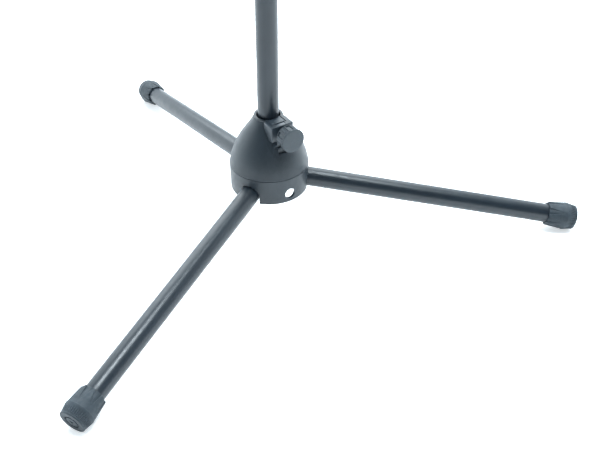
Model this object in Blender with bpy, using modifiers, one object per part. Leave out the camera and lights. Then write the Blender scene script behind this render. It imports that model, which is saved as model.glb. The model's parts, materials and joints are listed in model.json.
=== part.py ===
"""Folding music stand: a tripod base with a moulded hub, a two-section telescopic
column held by clamp screws, and a tilting sheet-steel desk.

Heights are measured from the floor and radii from the column's axis. The hub is
described around the point where the axes of the three legs meet the column's axis.
All lengths are in metres and all angles in degrees.
"""

import math

import bmesh
import bpy
from mathutils import Matrix, Vector

# Column
TUBE_R = 0.0110
TUBE_WALL = 0.0012
TUBE_TOP = 0.600
ROD_R = 0.0080
ROD_WALL = 0.0010
ROD_BOTTOM = 0.190
ROD_TOP = 0.815

# Legs
LEG_R = 0.0103
LEG_WALL = 0.0012
LEG_LENGTH = 0.343
LEG_SLOPE = 10.96
LEG_AZIMUTHS = (0.0, 120.0, 240.0)
PIVOT_REACH = 0.0300
PIN_R = 0.0028
HEEL_TIP = 0.0126
HEEL_HALF_HEIGHT = 0.0050
HEEL_HALF_WIDTH = 0.0075
HEEL_SHOULDER = 0.0220
HEEL_SPIGOT = 0.0250
LEG_TUBE_START = 0.0370

# Rubber feet, their walls on top of the leg's radius and their seam from the end
FOOT_LENGTH = 0.0319
FOOT_MOUTH_WALL = 0.0025
FOOT_SEAM_WALL = 0.0049
FOOT_END_WALL = 0.0029
FOOT_SEAM = 0.0120
FOOT_FLOOR = 0.0047
FOOT_EDGE = 0.0004
PAD_DEPTH = 0.0006

# Hub, heights from the point where the leg axes meet. The dome's line bends towards its
# shoulder and neck, each given as shares of the way in and up from seam to collar.
RING_BOTTOM = -0.0164
RING_TAPER = 0.0006
SEAM = 0.0124
SEAM_R = 0.0418
SEAM_GROOVE = 0.0005
HUB_TOP = 0.0688
COLLAR_WALL = 0.0030
COLLAR_MARGIN = 0.0012
HUB_WALL = 0.0030
DOME_SHOULDER = (0.186, 0.541)
DOME_NECK = (0.833, 0.776)
NECK_BOTTOM = 0.0540
FACE_BOTTOM = 0.0448
RECESS_BOTTOM = 0.0392
RECESS_TOP = 0.0460
RECESS_HALF_WIDTH = 0.0072
RECESS_FRONT = 0.0185
SEAT_DEPTH = 0.0070
SEAT_BOTTOM = 0.0420
STEP_BOTTOM = 0.0362
STEP_TOP = 0.0430
SLOT_MARGIN = 0.0010
CHEEK_MARGIN = 0.0014
CHEEK_THICKNESS = 0.0030
CHEEK_INNER = 0.0200
CHEEK_ABOVE_RIM = 0.0017
CHEEK_BELOW_SEAM = 0.0040
WINDOW_R = 0.0060
WINDOW_HEIGHT = -0.0061
ARCH_DEPTH = 0.0060
WINDOW_DEPTH = 0.0045

# The screws that hold ring and dome together, with the dome's posts and the ring's lugs
POST_INSET = 0.0108
POST_R = 0.0040
POST_MARGIN = 0.0007
POST_TOP = 0.0305
POST_HOLE_TOP = 0.0250
LUG_BOTTOM = 0.0030
LUG_TOP = 0.0080
SCREW_R = 0.0015
SCREW_TOP = 0.0230
SCREW_HEAD_R = 0.0032
SCREW_HEAD = 0.0022

# Clamps, along the clamp screw's axis from the surface of the tube they hold
CLAMP_AZIMUTH = -57.5
CLAMP_DROP = 0.0080
BOSS_HALF_WIDTH = 0.0128
BOSS_FRONT = 0.0161
POCKET_DEPTH = 0.0138
POCKET_HALF_WIDTH = 0.0082
POCKET_LENGTH = 0.0104
NUT_POCKET_HALF_WIDTH = 0.0053
NUT_POCKET_END = 0.0145
SHOE_LENGTH = 0.0088
SHOE_HOLD = 0.0020
CLAMP_SCREW_R = 0.0029

# Hand knobs
KNOB_R = 0.0128
KNOB_START = 0.0176
KNOB_BODY_START = 0.0234
KNOB_END = 0.0366
KNOB_NECK_R = 0.0070
KNOB_SOLID_END = 0.0067
KNOB_FLUTES = 8
KNOB_FLUTE_R = 0.0022
KNOB_FLUTE_OUTSET = 0.0009
KNOB_RIM = 0.0030

# Plug at the bottom of the lower tube, whose flange rests on the legs
FLANGE_BEYOND_TUBE = 0.0060
FLANGE_THICKNESS = 0.0050
PLUG_LENGTH = 0.0250

# Clutch at the top of the lower tube
CLUTCH_WALL = 0.0035
CLUTCH_BELOW = 0.0300
CLUTCH_ABOVE = 0.0360

# Bush and plug at the bottom of the upper rod
BUSH_LENGTH = 0.0250
ROD_PLUG_LENGTH = 0.0150
ROD_PLUG_FLANGE = 0.0030

# Head and desk, from the desk's tilt axis
AXIS_ABOVE_ROD = 0.0250
HEAD_WALL = 0.0040
HEAD_SOCKET = 0.0280
HEAD_CAP = 0.0050
TONGUE_HALF = 0.0050
TONGUE_R = 0.0090
WASHER_THICKNESS = 0.0012
EAR_THICKNESS = 0.0025
EAR_R = 0.0100
BOLT_HEAD_R = 0.0065
BOLT_HEAD = 0.0035
DESK_TILT = 20.0
DESK_WIDTH = 0.480
DESK_BELOW = 0.110
DESK_ABOVE = 0.210
DESK_FRONT = 0.0240
DESK_RIM = 0.0120
SHEET = 0.0012
FOLD_R = 0.0030
LEDGE_DEPTH = 0.0520
LEDGE_LIP = 0.0150
LEDGE_FLANGE = 0.0200
BRACKET_THICKNESS = 0.0020
BRACKET_HALF_WIDTH = 0.0300
BRACKET_HALF_HEIGHT = 0.0350
RIVET_R = 0.0020
RIVET_HEAD_R = 0.0036
RIVET_HEAD = 0.0014
RIVET_TAIL_R = 0.0032
RIVET_TAIL = 0.0012
BRACKET_RIVET_INSET = 0.0100
LEDGE_RIVET_INSET = 0.0600

# Clearances
GAP = 0.0003
RUNNING = 0.0004
EDGE = 0.0010
CUT = 0.0100
MERGE = 0.00001

SHARP = math.radians(30.0)
ROUND_STEPS = 24
FINE_STEPS = 36
SMALL_STEPS = 12
ARC_STEPS = 10
DOME_STEPS = 8
FLUTE_STEPS = 8

# Linear colour, roughness and metallic value of each finish
FINISHES = {
    "tube_paint": ((0.045, 0.058, 0.070), 0.42, 0.0),
    "hub_paint": ((0.050, 0.064, 0.075), 0.50, 0.0),
    "desk_paint": ((0.045, 0.055, 0.065), 0.45, 0.0),
    "black_plastic": ((0.055, 0.068, 0.078), 0.50, 0.0),
    "foot_rubber": ((0.060, 0.072, 0.080), 0.65, 0.0),
    "zinc_steel": ((0.55, 0.56, 0.58), 0.35, 1.0),
    "nylon": ((0.10, 0.11, 0.12), 0.55, 0.0),
}

FOOT_SEAM_R = LEG_R + FOOT_SEAM_WALL
FOOT_END_R = LEG_R + FOOT_END_WALL
COLLAR_BORE_R = TUBE_R + COLLAR_MARGIN
COLLAR_R = COLLAR_BORE_R + COLLAR_WALL
HEAD_R = ROD_R + HEAD_WALL
RING_BOTTOM_R = SEAM_R - RING_TAPER
POST_REACH = SEAM_R - POST_INSET
CHEEK_INSIDE = LEG_R + CHEEK_MARGIN
CHEEK_OUTSIDE = CHEEK_INSIDE + CHEEK_THICKNESS
BUSH_R = TUBE_R - TUBE_WALL - GAP

SLOPE = math.radians(LEG_SLOPE)
LEG_POINT_HEIGHT = LEG_LENGTH * math.sin(SLOPE) + FOOT_END_R * math.cos(SLOPE) - PAD_DEPTH
PIVOT_DISTANCE = PIVOT_REACH / math.cos(SLOPE)
PIVOT_HEIGHT = -PIVOT_REACH * math.tan(SLOPE)
TILT_AXIS_HEIGHT = ROD_TOP + AXIS_ABOVE_ROD

ALONG_X = Matrix.Rotation(math.radians(90.0), 4, "Y")
ALONG_MINUS_Y = Matrix.Rotation(math.radians(90.0), 4, "X")

for old in list(bpy.data.objects):
    bpy.data.objects.remove(old, do_unlink=True)

parts = bpy.data.collections.new("music_stand")
cutters = bpy.data.collections.new("cutters")
bpy.context.scene.collection.children.link(parts)
bpy.context.scene.collection.children.link(cutters)

pivot_frames = {}
pivots = {}
materials = {}


def raised(height):
    """A frame on the column's axis, at a height above the floor."""
    return Matrix.Translation((0.0, 0.0, height))


def turned_to(azimuth, height=0.0):
    """A frame on the column's axis whose X points along an azimuth."""
    return raised(height) @ Matrix.Rotation(math.radians(azimuth), 4, "Z")


def hub_frame(azimuth=0.0):
    return turned_to(azimuth, LEG_POINT_HEIGHT)


def leg_frame(azimuth):
    """X runs out along the leg's axis from the column's axis."""
    return hub_frame(azimuth) @ Matrix.Rotation(SLOPE, 4, "Y")


def desk_frame():
    return raised(TILT_AXIS_HEIGHT) @ Matrix.Rotation(-math.radians(DESK_TILT), 4, "X")


def add_pivot(name, frame):
    """An empty that carries the pieces of one moving group."""
    empty = bpy.data.objects.new(name, None)
    empty.empty_display_size = 0.02
    parts.objects.link(empty)
    pivot_frames[name] = frame
    pivots[name] = empty
    if name != "stand_axis":
        empty.parent = pivots["stand_axis"]
        empty.matrix_basis = pivot_frames["stand_axis"].inverted() @ frame
    return empty


def finish(name):
    """The material of one piece, in one of the stand's finishes."""
    if name not in materials:
        colour, roughness, metallic = FINISHES[name]
        material = bpy.data.materials.new(name)
        material.use_nodes = True
        shader = material.node_tree.nodes["Principled BSDF"]
        shader.inputs["Base Color"].default_value = (*colour, 1.0)
        shader.inputs["Roughness"].default_value = roughness
        shader.inputs["Metallic"].default_value = metallic
        material.diffuse_color = (*colour, 1.0)
        materials[name] = material
    return materials[name]


def add(name, mesh, pivot, frame, look=None):
    """Places a mesh: a piece where it has a finish, otherwise a hidden cutter."""
    piece = bpy.data.objects.new(name, mesh)
    if look:
        parts.objects.link(piece)
        mesh.materials.append(finish(look))
    else:
        cutters.objects.link(piece)
        piece.hide_render = True
        piece.display_type = "WIRE"
    piece.parent = pivots[pivot]
    piece.matrix_basis = pivot_frames[pivot].inverted() @ frame
    return piece


def turned(name, outline, pivot, frame, look=None, steps=ROUND_STEPS):
    """Turns an outline of (radius, height) points about the frame's Z. The outline
    starts at the top and runs down the outer side. It closes on itself unless it
    starts and ends on the axis."""
    mesh = bpy.data.meshes.new(name)
    last = len(outline) - 1
    edges = [(i, i + 1) for i in range(last)]
    if outline[0][0] > 0.0:
        edges.append((last, 0))
    mesh.from_pydata([(radius, 0.0, height) for radius, height in outline], edges, [])
    piece = add(name, mesh, pivot, frame, look)
    turn = piece.modifiers.new("turn", "SCREW")
    turn.axis = "Z"
    turn.steps = steps
    turn.render_steps = steps
    turn.use_merge_vertices = True
    turn.merge_threshold = MERGE
    return piece


def add_box(bm, low, high):
    size = Vector(high) - Vector(low)
    middle = (Vector(high) + Vector(low)) / 2.0
    matrix = Matrix.Translation(middle) @ Matrix.Diagonal((*size, 1.0))
    bmesh.ops.create_cube(bm, size=1.0, matrix=matrix)


def add_rod(bm, start, end, radius, steps=ROUND_STEPS):
    """A round bar between two points."""
    start, end = Vector(start), Vector(end)
    along = end - start
    turn = along.to_track_quat("Z", "Y").to_matrix().to_4x4()
    bmesh.ops.create_cone(
        bm,
        cap_ends=True,
        segments=steps,
        radius1=radius,
        radius2=radius,
        depth=along.length,
        matrix=Matrix.Translation((start + end) / 2.0) @ turn,
    )


def from_shapes(name, fill, pivot, frame, look=None):
    """A piece or cutter whose mesh is made by fill, which adds shapes to a bmesh."""
    mesh = bpy.data.meshes.new(name)
    bm = bmesh.new()
    fill(bm)
    bm.to_mesh(mesh)
    bm.free()
    return add(name, mesh, pivot, frame, look)


def box(name, low, high, pivot, frame, look=None):
    return from_shapes(name, lambda bm: add_box(bm, low, high), pivot, frame, look)


def rod(name, start, end, radius, pivot, frame, look=None, steps=ROUND_STEPS):
    def fill(bm):
        add_rod(bm, start, end, radius, steps)

    return from_shapes(name, fill, pivot, frame, look)


def lug(name, foot, turn, radius, low, high, pivot, frame, look=None):
    """A flat lug across X, from low to high: a round eye about the frame's X and a
    straight neck that reaches foot away from it, turned about X by an angle."""
    mesh = bpy.data.meshes.new(name)
    bm = bmesh.new()
    angles = [math.pi * i / ARC_STEPS for i in range(ARC_STEPS + 1)]
    outline = [(radius * math.cos(angle), radius * math.sin(angle)) for angle in angles]
    outline += [(-radius, -foot), (radius, -foot)]
    face = bm.faces.new([bm.verts.new((low, y, z)) for y, z in outline])
    grown = bmesh.ops.extrude_face_region(bm, geom=[face])
    verts = [part for part in grown["geom"] if isinstance(part, bmesh.types.BMVert)]
    bmesh.ops.translate(bm, verts=verts, vec=(high - low, 0.0, 0.0))
    bmesh.ops.recalc_face_normals(bm, faces=bm.faces)
    bmesh.ops.transform(bm, matrix=Matrix.Rotation(math.radians(turn), 4, "X"), verts=bm.verts)
    bm.to_mesh(mesh)
    bm.free()
    return add(name, mesh, pivot, frame, look)


def combine(piece, tool, operation):
    boolean = piece.modifiers.new(tool.name, "BOOLEAN")
    boolean.solver = "EXACT"
    boolean.operation = operation
    boolean.object = tool


def join(piece, tool):
    combine(piece, tool, "UNION")


def cut(piece, tool):
    combine(piece, tool, "DIFFERENCE")


def soften(piece, width, segments=2):
    """Rounds the piece's sharp edges."""
    bevel = piece.modifiers.new("soften", "BEVEL")
    bevel.width = width
    bevel.segments = segments
    bevel.limit_method = "ANGLE"
    bevel.angle_limit = SHARP


# ---------------------------------------------------------------- hub


def dome_curve(share):
    """The dome's outer line, from the seam (0) to the collar (1), and its slope."""
    start = Vector((SEAM_R, SEAM))
    end = Vector((COLLAR_R, HUB_TOP - EDGE))
    span = end - start
    lower = start + Vector((DOME_SHOULDER[0] * span.x, DOME_SHOULDER[1] * span.y))
    upper = start + Vector((DOME_NECK[0] * span.x, DOME_NECK[1] * span.y))
    rest = 1.0 - share
    point = (
        rest**3 * start
        + 3.0 * rest**2 * share * lower
        + 3.0 * rest * share**2 * upper
        + share**3 * end
    )
    slope = (
        rest**2 * (lower - start) + 2.0 * rest * share * (upper - lower) + share**2 * (end - upper)
    )
    return point, slope.normalized()


def dome_outline():
    shares = [step / DOME_STEPS for step in range(DOME_STEPS + 1)]
    outer = [dome_curve(share)[0] for share in reversed(shares)]
    inner = []
    for share in shares:
        point, slope = dome_curve(share)
        inside = point - HUB_WALL * Vector((slope.y, -slope.x))
        if SEAM + HUB_WALL < inside.y < NECK_BOTTOM - HUB_WALL:
            inner.append(inside)
    bottom = SEAM + GAP / 2.0
    outline = [(COLLAR_R - EDGE, HUB_TOP)]
    outline += [(point.x, point.y) for point in outer if point.y > SEAM + EDGE]
    outline += [(SEAM_R, bottom + SEAM_GROOVE), (SEAM_R - SEAM_GROOVE, bottom)]
    outline += [(SEAM_R - HUB_WALL, bottom)]
    outline += [(point.x, point.y) for point in inner]
    outline += [(COLLAR_BORE_R, NECK_BOTTOM), (COLLAR_BORE_R, HUB_TOP)]
    return outline


def screw_azimuths():
    """The screws stand just beside the cheeks that hold the legs."""
    aside = CHEEK_OUTSIDE + POST_MARGIN + POST_R + EDGE / 2.0
    turn = math.degrees(math.asin(aside / POST_REACH))
    return [azimuth + turn for azimuth in LEG_AZIMUTHS]


def clamp_seat(housing, pivot, frame, tube_r, top, boss_bottom, face_bottom, inner, prefix):
    """Gives a housing its clamp boss, and returns the cutters of its flat face, of the
    pocket for shoe and nut, and of the screw hole. The frame's X is the screw's
    direction."""
    front = tube_r + BOSS_FRONT
    boss = box(
        f"{prefix}_boss",
        (inner, -BOSS_HALF_WIDTH, boss_bottom),
        (front + EDGE, BOSS_HALF_WIDTH, top),
        pivot,
        frame,
    )
    face = box(
        f"{prefix}_face",
        (front, -BOSS_HALF_WIDTH - EDGE / 2.0, face_bottom),
        (front + 2.0 * CUT, BOSS_HALF_WIDTH + EDGE / 2.0, top + CUT),
        pivot,
        frame,
    )
    pocket = box(
        f"{prefix}_pocket",
        (tube_r / 2.0, -POCKET_HALF_WIDTH, top - POCKET_DEPTH),
        (tube_r + POCKET_LENGTH, POCKET_HALF_WIDTH, top + CUT),
        pivot,
        frame,
    )
    nut_pocket = box(
        f"{prefix}_nut_pocket",
        (tube_r + POCKET_LENGTH - EDGE, -NUT_POCKET_HALF_WIDTH, top - POCKET_DEPTH),
        (tube_r + NUT_POCKET_END, NUT_POCKET_HALF_WIDTH, top + CUT),
        pivot,
        frame,
    )
    hole = rod(
        f"{prefix}_hole",
        (tube_r + POCKET_LENGTH, 0.0, top - CLAMP_DROP),
        (front + CUT, 0.0, top - CLAMP_DROP),
        CLAMP_SCREW_R + RUNNING,
        pivot,
        frame,
        steps=SMALL_STEPS,
    )
    join(housing, boss)
    return [face, pocket, nut_pocket, hole]


def build_dome():
    dome = turned("base_dome", dome_outline(), "stand_axis", hub_frame(), "hub_paint", FINE_STEPS)
    frame = hub_frame(CLAMP_AZIMUTH)
    front = TUBE_R + BOSS_FRONT
    step_half_width = RECESS_HALF_WIDTH - EDGE
    seat = box(
        "clamp_seat",
        (front - SEAT_DEPTH, -step_half_width - EDGE / 2.0, SEAT_BOTTOM),
        (front + EDGE, step_half_width + EDGE / 2.0, NECK_BOTTOM - EDGE),
        "stand_axis",
        frame,
    )
    step = box(
        "clamp_step",
        (front - SEAT_DEPTH + EDGE, -step_half_width, STEP_BOTTOM),
        (TUBE_R + RECESS_FRONT + EDGE, step_half_width, STEP_TOP),
        "stand_axis",
        frame,
    )
    recess = box(
        "clamp_recess",
        (TUBE_R + RECESS_FRONT, -RECESS_HALF_WIDTH, RECESS_BOTTOM),
        (TUBE_R + RECESS_FRONT + CUT, RECESS_HALF_WIDTH, RECESS_TOP),
        "stand_axis",
        frame,
    )
    cuts = clamp_seat(
        dome,
        "stand_axis",
        frame,
        TUBE_R,
        HUB_TOP,
        NECK_BOTTOM - 2.0 * EDGE,
        FACE_BOTTOM,
        COLLAR_BORE_R - EDGE / 2.0,
        "base",
    )
    join(dome, seat)
    join(dome, step)

    def fill_posts(bm):
        for azimuth in screw_azimuths():
            turn = Matrix.Rotation(math.radians(azimuth), 4, "Z")
            low = turn @ Vector((POST_REACH, 0.0, LUG_TOP + GAP))
            high = turn @ Vector((POST_REACH, 0.0, POST_TOP))
            add_rod(bm, low, high, POST_R, SMALL_STEPS)

    def fill_post_holes(bm):
        for azimuth in screw_azimuths():
            turn = Matrix.Rotation(math.radians(azimuth), 4, "Z")
            low = turn @ Vector((POST_REACH, 0.0, 0.0))
            high = turn @ Vector((POST_REACH, 0.0, POST_HOLE_TOP))
            add_rod(bm, low, high, SCREW_R + GAP, SMALL_STEPS)

    join(dome, from_shapes("dome_posts", fill_posts, "stand_axis", hub_frame()))
    for tool in (recess, *cuts):
        cut(dome, tool)
    bore = rod(
        "collar_bore",
        (0.0, 0.0, NECK_BOTTOM - CUT),
        (0.0, 0.0, HUB_TOP + CUT),
        COLLAR_BORE_R,
        "stand_axis",
        hub_frame(),
        steps=FINE_STEPS,
    )
    cut(dome, bore)
    cut(dome, from_shapes("post_holes", fill_post_holes, "stand_axis", hub_frame()))


def build_ring():
    top = SEAM - GAP / 2.0
    inner = SEAM_R - HUB_WALL
    outline = [
        (SEAM_R - SEAM_GROOVE, top),
        (SEAM_R, top - SEAM_GROOVE),
        (RING_BOTTOM_R, RING_BOTTOM + EDGE),
        (RING_BOTTOM_R - EDGE, RING_BOTTOM),
        (RING_BOTTOM_R - HUB_WALL, RING_BOTTOM),
        (inner, top),
    ]
    ring = turned("base_ring", outline, "stand_axis", hub_frame(), "hub_paint", FINE_STEPS)
    slot_r = LEG_R + SLOT_MARGIN
    wall_middle = RING_BOTTOM_R - HUB_WALL / 2.0
    cheek_reach = math.sqrt(wall_middle**2 - CHEEK_OUTSIDE**2)
    arch_height = -wall_middle * math.tan(SLOPE)

    for index, azimuth in enumerate(LEG_AZIMUTHS, 1):
        frame = hub_frame(azimuth)
        for side in (-1.0, 1.0):
            near, far = sorted((side * CHEEK_INSIDE, side * CHEEK_OUTSIDE))
            cheek = box(
                f"cheek_{index}_{'left' if side > 0 else 'right'}",
                (CHEEK_INNER, near, RING_BOTTOM + CHEEK_ABOVE_RIM),
                (cheek_reach, far, SEAM - CHEEK_BELOW_SEAM),
                "stand_axis",
                frame,
            )
            join(ring, cheek)
    for index, azimuth in enumerate(screw_azimuths(), 1):
        spot = hub_frame(azimuth) @ Matrix.Translation((POST_REACH, 0.0, 0.0))
        screw_lug = lug(
            f"screw_lug_{index}",
            wall_middle - EDGE / 2.0 - POST_REACH,
            0.0,
            POST_R + EDGE / 2.0,
            LUG_BOTTOM,
            LUG_TOP,
            "stand_axis",
            spot @ ALONG_X.inverted(),
        )
        join(ring, screw_lug)

    for index, azimuth in enumerate(LEG_AZIMUTHS, 1):
        frame = hub_frame(azimuth)
        arch = lug(
            f"leg_arch_{index}",
            arch_height - RING_BOTTOM + CUT,
            0.0,
            slot_r,
            wall_middle - HUB_WALL / 2.0 - ARCH_DEPTH,
            SEAM_R + HUB_WALL,
            "stand_axis",
            frame @ raised(arch_height),
        )
        hole = rod(
            f"pin_hole_{index}",
            (PIVOT_REACH, -CHEEK_OUTSIDE - EDGE, PIVOT_HEIGHT),
            (PIVOT_REACH, CHEEK_OUTSIDE + EDGE, PIVOT_HEIGHT),
            PIN_R + GAP,
            "stand_axis",
            frame,
            steps=SMALL_STEPS,
        )
        cut(ring, arch)
        cut(ring, hole)
    for index, azimuth in enumerate(screw_azimuths(), 1):
        hole = rod(
            f"lug_hole_{index}",
            (POST_REACH, 0.0, 0.0),
            (POST_REACH, 0.0, LUG_TOP + EDGE),
            SCREW_R + GAP,
            "stand_axis",
            hub_frame(azimuth),
            steps=SMALL_STEPS,
        )
        cut(ring, hole)
    half_step = Matrix.Rotation(math.pi / ROUND_STEPS, 4, "X")
    window = rod(
        "ring_window",
        (wall_middle - HUB_WALL / 2.0 - WINDOW_DEPTH, 0.0, 0.0),
        (SEAM_R + HUB_WALL, 0.0, 0.0),
        WINDOW_R,
        "stand_axis",
        hub_frame(CLAMP_AZIMUTH) @ raised(WINDOW_HEIGHT) @ half_step,
    )
    cut(ring, window)


def build_hub_fasteners():
    """The screws that hold ring and dome together, and the legs' pivot pins."""
    head_top = LUG_BOTTOM - GAP
    outline = [
        (0.0, SCREW_TOP),
        (SCREW_R, SCREW_TOP),
        (SCREW_R, head_top),
        (SCREW_HEAD_R, head_top),
        (SCREW_HEAD_R - EDGE / 2.0, head_top - SCREW_HEAD),
        (0.0, head_top - SCREW_HEAD),
    ]
    for index, azimuth in enumerate(screw_azimuths(), 1):
        frame = hub_frame(azimuth) @ Matrix.Translation((POST_REACH, 0.0, 0.0))
        turned(f"ring_screw_{index}", outline, "stand_axis", frame, "zinc_steel", SMALL_STEPS)
    for index, azimuth in enumerate(LEG_AZIMUTHS, 1):
        rod(
            f"pivot_pin_{index}",
            (PIVOT_REACH, -CHEEK_OUTSIDE, PIVOT_HEIGHT),
            (PIVOT_REACH, CHEEK_OUTSIDE, PIVOT_HEIGHT),
            PIN_R,
            "stand_axis",
            hub_frame(azimuth),
            "zinc_steel",
            SMALL_STEPS,
        )


# ---------------------------------------------------------------- clamps


def knob_outline(tube_r):
    start = tube_r + KNOB_START
    body = tube_r + KNOB_BODY_START
    end = tube_r + KNOB_END
    bore = CLAMP_SCREW_R + GAP
    return [
        (0.0, end),
        (KNOB_R - EDGE, end),
        (KNOB_R, end - EDGE),
        (KNOB_R, body + EDGE),
        (KNOB_R - EDGE, body),
        (KNOB_NECK_R, body),
        (KNOB_NECK_R, start),
        (bore, start),
        (bore, end - KNOB_SOLID_END),
        (0.0, end - KNOB_SOLID_END),
    ]


def knob(name, pivot, frame, tube_r):
    """A fluted hand knob, turned about the frame's Z."""
    piece = turned(name, knob_outline(tube_r), pivot, frame, "black_plastic")
    pitch_r = KNOB_R + KNOB_FLUTE_OUTSET

    def fill(bm):
        for index in range(KNOB_FLUTES):
            angle = 2.0 * math.pi * (index + 0.5) / KNOB_FLUTES
            spot = Vector((pitch_r * math.cos(angle), pitch_r * math.sin(angle), 0.0))
            low = spot + Vector((0.0, 0.0, tube_r + KNOB_BODY_START - EDGE))
            high = spot + Vector((0.0, 0.0, tube_r + KNOB_END - KNOB_RIM))
            add_rod(bm, low, high, KNOB_FLUTE_R, FLUTE_STEPS)

    cut(piece, from_shapes(f"{name}_flutes", fill, pivot, frame))
    return piece


def build_clamp(prefix, azimuth, tube_r, top, nut_pivot):
    """The shoe, nut, screw and knob of one clamp. The knob and screw turn together,
    and the shoe only moves along the screw."""
    frame = turned_to(azimuth)
    axis_height = top - CLAMP_DROP
    floor = top - POCKET_DEPTH + GAP
    lid = top - RUNNING
    shoe = box(
        f"{prefix}_shoe",
        (tube_r / 2.0 + SHOE_HOLD, -POCKET_HALF_WIDTH + RUNNING, floor),
        (tube_r + SHOE_LENGTH, POCKET_HALF_WIDTH - RUNNING, lid),
        f"{prefix}_clamp",
        frame,
        "black_plastic",
    )
    hollow = rod(
        f"{prefix}_shoe_hollow",
        (0.0, 0.0, floor - EDGE),
        (0.0, 0.0, lid + EDGE),
        tube_r + RUNNING,
        f"{prefix}_clamp",
        frame,
        steps=FINE_STEPS,
    )
    cut(shoe, hollow)
    nut = box(
        f"{prefix}_nut",
        (tube_r + POCKET_LENGTH + RUNNING, -NUT_POCKET_HALF_WIDTH + GAP, floor),
        (tube_r + NUT_POCKET_END - GAP, NUT_POCKET_HALF_WIDTH - GAP, lid),
        nut_pivot,
        frame,
        "tube_paint",
    )
    nut_hole = rod(
        f"{prefix}_nut_hole",
        (tube_r, 0.0, axis_height),
        (tube_r + 2.0 * NUT_POCKET_END, 0.0, axis_height),
        CLAMP_SCREW_R + GAP,
        nut_pivot,
        frame,
        steps=SMALL_STEPS,
    )
    cut(nut, nut_hole)
    axis = frame @ Matrix.Translation((0.0, 0.0, axis_height))
    rod(
        f"{prefix}_screw",
        (tube_r + SHOE_LENGTH + GAP, 0.0, 0.0),
        (tube_r + KNOB_END - KNOB_SOLID_END - GAP, 0.0, 0.0),
        CLAMP_SCREW_R,
        f"{prefix}_knob_axis",
        axis,
        "zinc_steel",
        SMALL_STEPS,
    )
    knob(f"{prefix}_knob", f"{prefix}_knob_axis", axis @ ALONG_X, tube_r)


# ---------------------------------------------------------------- legs


def build_leg(index, azimuth):
    pivot = f"leg_{index}_pivot"
    frame = leg_frame(azimuth)
    along = frame @ ALONG_X
    mouth = LEG_LENGTH - FOOT_LENGTH
    start = LEG_TUBE_START
    end = LEG_LENGTH - FOOT_FLOOR - GAP
    inner_r = LEG_R - LEG_WALL
    tube = [(LEG_R, end), (LEG_R, start), (inner_r, start), (inner_r, end)]
    turned(f"leg_{index}_tube", tube, pivot, along, "tube_paint")

    spigot_r = inner_r - GAP
    heel = [
        (0.0, start + HEEL_SPIGOT),
        (spigot_r - EDGE, start + HEEL_SPIGOT),
        (spigot_r, start + HEEL_SPIGOT - EDGE),
        (spigot_r, start - GAP),
        (LEG_R - GAP, start - GAP),
        (LEG_R - GAP, HEEL_SHOULDER + EDGE),
        (LEG_R - GAP - EDGE, HEEL_SHOULDER),
        (0.0, HEEL_SHOULDER),
    ]
    heel_piece = turned(f"leg_{index}_heel", heel, pivot, along, "nylon")
    tongue = box(
        f"heel_tongue_{index}",
        (HEEL_TIP, -HEEL_HALF_WIDTH, -HEEL_HALF_HEIGHT),
        (PIVOT_DISTANCE, HEEL_HALF_WIDTH, HEEL_HALF_HEIGHT),
        pivot,
        frame,
    )
    bore = rod(
        f"heel_bore_{index}",
        (PIVOT_DISTANCE, -LEG_R - EDGE, 0.0),
        (PIVOT_DISTANCE, LEG_R + EDGE, 0.0),
        PIN_R + GAP,
        pivot,
        frame,
        steps=SMALL_STEPS,
    )
    join(heel_piece, tongue)
    cut(heel_piece, bore)

    seam = LEG_LENGTH - FOOT_SEAM
    mouth_r = LEG_R + FOOT_MOUTH_WALL
    bore_r = LEG_R + GAP
    foot = [
        (0.0, LEG_LENGTH),
        (FOOT_END_R - EDGE, LEG_LENGTH),
        (FOOT_END_R, LEG_LENGTH - EDGE),
        (FOOT_SEAM_R, seam + FOOT_EDGE),
        (FOOT_SEAM_R - FOOT_EDGE, seam),
        (mouth_r, mouth + FOOT_EDGE),
        (mouth_r - FOOT_EDGE, mouth),
        (bore_r, mouth),
        (bore_r, LEG_LENGTH - FOOT_FLOOR),
        (0.0, LEG_LENGTH - FOOT_FLOOR),
    ]
    foot_piece = turned(f"leg_{index}_foot", foot, pivot, along, "foot_rubber")
    floor_cut = box(
        f"floor_cut_{index}",
        (LEG_LENGTH / 2.0, -FOOT_SEAM_R - CUT, -LEG_POINT_HEIGHT - CUT),
        (LEG_LENGTH + CUT, FOOT_SEAM_R + CUT, -LEG_POINT_HEIGHT),
        pivot,
        hub_frame(azimuth),
    )
    cut(foot_piece, floor_cut)


# ---------------------------------------------------------------- column


def flange_bottom():
    """The plug's flange rests just above the inner ends of the legs."""
    heel_top = -HEEL_TIP * math.sin(SLOPE) + HEEL_HALF_HEIGHT * math.cos(SLOPE)
    return LEG_POINT_HEIGHT + heel_top + GAP


def build_lower_tube():
    flange = flange_bottom()
    flange_r = TUBE_R + FLANGE_BEYOND_TUBE
    flange_top = flange + FLANGE_THICKNESS
    plug_top = flange_top + PLUG_LENGTH
    inner_r = TUBE_R - TUBE_WALL
    bottom = flange_top + GAP
    outline = [(TUBE_R, TUBE_TOP), (TUBE_R, bottom), (inner_r, bottom), (inner_r, TUBE_TOP)]
    turned("lower_tube", outline, "tube_axis", Matrix.Identity(4), "tube_paint")
    plug = [
        (0.0, plug_top),
        (inner_r - GAP - EDGE, plug_top),
        (inner_r - GAP, plug_top - EDGE),
        (inner_r - GAP, flange_top),
        (flange_r - EDGE, flange_top),
        (flange_r, flange_top - EDGE),
        (flange_r, flange),
        (0.0, flange),
    ]
    turned("tube_plug", plug, "tube_axis", Matrix.Identity(4), "nylon")


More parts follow.
